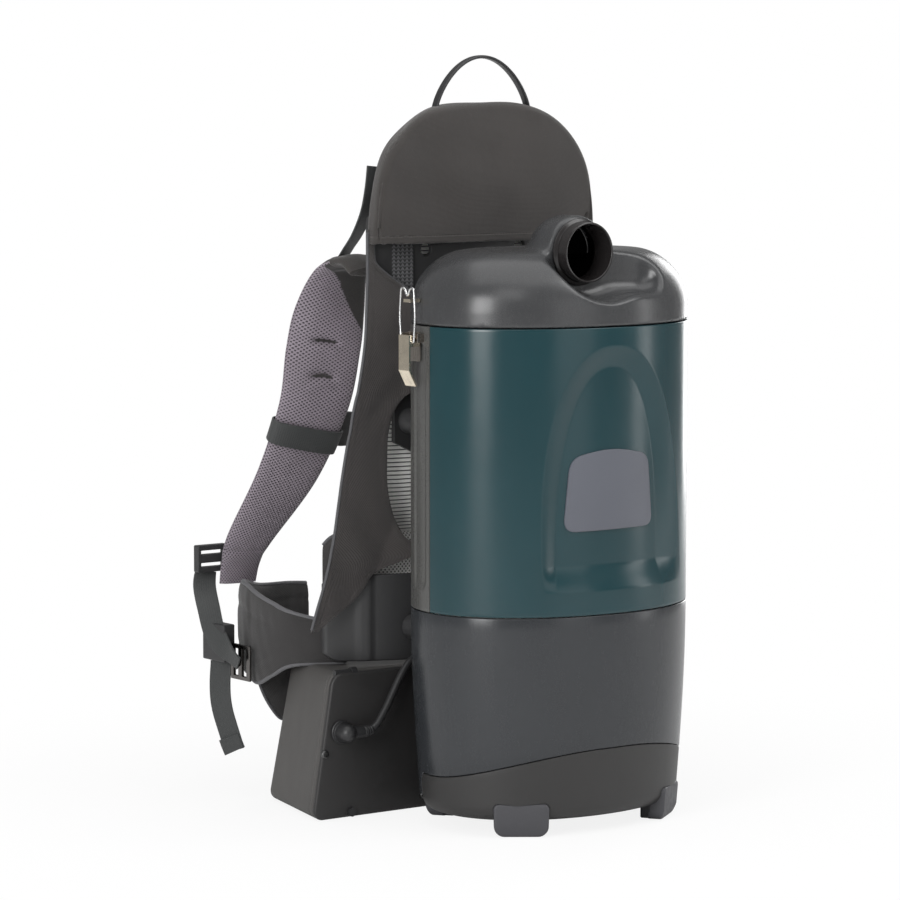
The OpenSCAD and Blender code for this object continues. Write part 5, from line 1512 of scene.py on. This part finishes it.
def battery_box():
    """The tub and its cover, with round corners, softened edges and a step either side of their seam,
    the cover's screws, the pins at its left and right, and the switch."""
    front = TUB_FRONT
    tub = [(front + 0.002, 4), (front + 0.002, 1.4), (front + 0.006, 0.7), (front + 0.014, 0.3), (front + 0.03, 0)]
    tub += [(0.100, 0), (0.106, 0.2), (0.110, 0.8), (0.116, 0.8), (0.120, 0.2), (0.126, 0)]
    tub += [(s, 0) for s in np.linspace(0.16, 0.93, 14)]
    tub += [(0.93 + 0.07 * math.sin(a), 8.7 * (1 - math.cos(a))) for a in np.linspace(0.15, 1, 7) * math.pi / 2]
    piece = clean(grid("battery_tub_look", [box_ring(s, inset) for s, inset in tub]), 40)
    finish_piece(piece, "box", "canister", "box_plastic", "battery_tub", "battery_packs")
    t = COVER_T / BOX_D
    rings = [(t, 5), (t, 1.2), (t - 0.004, 0.5), (t * 0.7, 0)]
    rings += [(0.45 * t * (1 - math.sin(a)), 2.6 * (1 - math.cos(a))) for a in np.linspace(0, 1, 7) * math.pi / 2]
    cover = clean(grid("battery_cover_look", [box_ring(s, inset) for s, inset in rings[::-1]]), 40)
    hole = grid("hole", rounded_box((SWITCH_X, BOX_Y + 3, SWITCH_Z), (14.6, 20, 22.6), 1.2, 0.05, "y"))
    cut_out(cover, clean(hole))
    clean(cover, 40, False)
    # the cover takes the darker painted-shade copy of the box plastic
    finish_piece(cover, "box_front_painted_shade", "canister", "box_plastic", "battery_cover")
    profile = [(BOX_Y + y, radius) for y, radius in SCREW_PROFILE]
    heads = [grid("head", turned(profile, (x, 0, z), "y", 24)) for x, z in SCREWS]
    finish_piece(clean(join("cover_screws_look", heads), 35), "screw", "canister", "steel", "cover_screws")
    pins = []
    for sign in (-1, 1):
        for first, last, radius in PINS:
            line = np.linspace(first, last, 4) * (sign, 1, 1)
            pins.append(clean(grid("pin", tube_rows(line, radius, 18)), 40))
    finish_piece(join("box_pins", pins), "dark", "canister", "harness_plastic")
    finish_node("switch_rocker", 30, 0.8, "rocker", "rocker_plastic", "rocker")


CABLE = [(-149.6, 91.4, 81.6), (-144, 91.4, 81.6), (-138, 91.4, 83), (-132, 91, 87), (-126, 92, 94),
         (-119, 93, 103), (-112, 94.5, 113), (-105, 96, 123), (-97, 97.5, 133), (-88, 99.5, 141),
         (-78, 101, 145), (-68, 101, 146), (-58.2, 101, 146)]
PLUG_X, PLUG_Z = -165.0, 81.6
PLUG_PROFILE = ((4, 7.9), (-0.4, 7.9), (-0.4, 10.4), (-0.9, 11.0), (-2.4, 11.0), (-3.0, 10.5), (-3.2, 8.9),
                (-3.6, 8.5), (-12, 8.5))


def cable():
    """The lead from the battery box's plug up to its gland on the housing, the plug with a ball end,
    and the ringed boot that tapers from it along the lead."""
    path = smooth_run(CABLE, 6)
    piece = clean(grid("power_cable_look", tube_rows(path, 3.5, 24)), 60)
    finish_piece(piece, "cable", "canister", "cable_rubber", "power_cable")
    body = [(BOX_Y + y, radius) for y, radius in PLUG_PROFILE]
    body += [(BOX_Y - 12 - 8.5 * math.sin(a), 8.5 * math.cos(a)) for a in np.linspace(0.15, 1.52, 9)]
    plug = grid("plug", turned(body, (PLUG_X, 0, PLUG_Z), "y", 48))
    along = np.vstack([[(PLUG_X + x, BOX_Y - 12, PLUG_Z) for x in (2, 8)], path[:14]])
    s = np.linspace(0, 1, len(along))
    rings = 0.28 * np.sign(np.sin(s * 60)) * (s > 0.25)
    boot = grid("boot", tube_rows(along, np.where(s < 0.25, 5.7, mix(5.6, 4.1, (s - 0.25) / 0.75)) + rings, 28))
    whole = clean(join("cable_plug_look", [clean(plug), clean(boot)]), 35, False)
    finish_piece(whole, "dark", "canister", "cable_rubber", "cable_plug")
    finish_node("cable_gland", 30, 1.6, "dark", "cable_rubber")


battery_box()
cable()


# ---- stage, lights and background ----------------------------------------------------------------------

def stage():
    """A wide pale floor of soft white paper. For the camera it glows from 0.86 under the object to a
    full white further out, and the rest of the light sees the paper."""
    paper = Finish("paper", (0.9, 0.9, 0.9), 0.9, Specular_IOR_Level=0.1)
    paper.paint(paper.blend(paper.noise(3.0, 3.0), (0.90, 0.90, 0.90), (0.92, 0.92, 0.92)))
    glow = paper.add("Emission", {"Color": (1.0, 1.0, 1.0, 1.0), "Strength": 1.0})
    path = paper.add("LightPath")
    spot = paper.parts(paper.coords())
    squares = paper.math("ADD", paper.math("POWER", spot[0], 2.0), paper.math("POWER", spot[1], 2.0))
    share = paper.ramp(paper.math("SQRT", squares), 0.25, 0.75, 0.86, 1.0)
    seen = paper.add("MixShader", {0: paper.math("MULTIPLY", path.outputs["Is Camera Ray"], share)})
    output = paper.tree.nodes["Material Output"]
    paper.tree.links.new(paper.shader.outputs[0], seen.inputs[1])
    paper.tree.links.new(glow.outputs[0], seen.inputs[2])
    paper.tree.links.new(seen.outputs[0], output.inputs["Surface"])
    floor = build("floor", [(-9e3, -9e3, 0), (9e3, -9e3, 0), (9e3, 9e3, 0), (-9e3, 9e3, 0)], [(0, 1, 2, 3)])
    floor.data.materials.append(paper.material)


def area_light(name, stands_at, target, size, power):
    """A white oblong lamp of a size and power, in metres and watts, that faces its target."""
    light = bpy.data.lights.new(name, "AREA")
    light.shape, light.size, light.size_y, light.energy = "RECTANGLE", *size, power
    lamp = bpy.data.objects.new(name, light)
    lamp.location = stands_at
    lamp.rotation_euler = (Vector(target) - Vector(stands_at)).to_track_quat("-Z", "Y").to_euler()
    bpy.context.scene.collection.objects.link(lamp)


def world():
    """White for the camera, and an even pale grey for the light it gives."""
    sky = bpy.data.worlds.new("studio")
    sky.use_nodes = True
    tree = sky.node_tree
    path = tree.nodes.new("ShaderNodeLightPath")
    back = tree.nodes["Background"]
    back.inputs["Color"].default_value = (1.0, 1.0, 1.0, 1.0)
    level = tree.nodes.new("ShaderNodeMapRange")
    level.inputs["To Min"].default_value = 0.3
    level.inputs["To Max"].default_value = 1.0
    tree.links.new(path.outputs["Is Camera Ray"], level.inputs["Value"])
    tree.links.new(level.outputs["Result"], back.inputs["Strength"])
    bpy.context.scene.world = sky


stage()
world()
area_light("key", (-1.9, -2.2, 2.6), (0, -0.05, 0.35), (1.4, 1.2), 10.0)
area_light("left", (-2.42, -1.0, 1.05), (0, -0.1, 0.42), (0.95, 1.5), 40.0)
area_light("front", (0.4, -2.9, 0.9), (0, -0.1, 0.35), (1.4, 1.7), 6.5)
area_light("right", (2.35, -1.75, 0.75), (0, -0.1, 0.35), (0.5, 1.6), 7.5)
area_light("rim", (2.5, 1.2, 0.8), (0, -0.05, 0.35), (0.9, 1.6), 22.0)
area_light("high", (1.1, -1.6, 2.5), (0, -0.1, 0.4), (1.6, 1.2), 24.0)
area_light("top", (-0.2, -0.2, 2.6), (0, -0.05, 0.3), (2.4, 2.4), 26.0)
bpy.context.scene.view_settings.view_transform = "Standard"
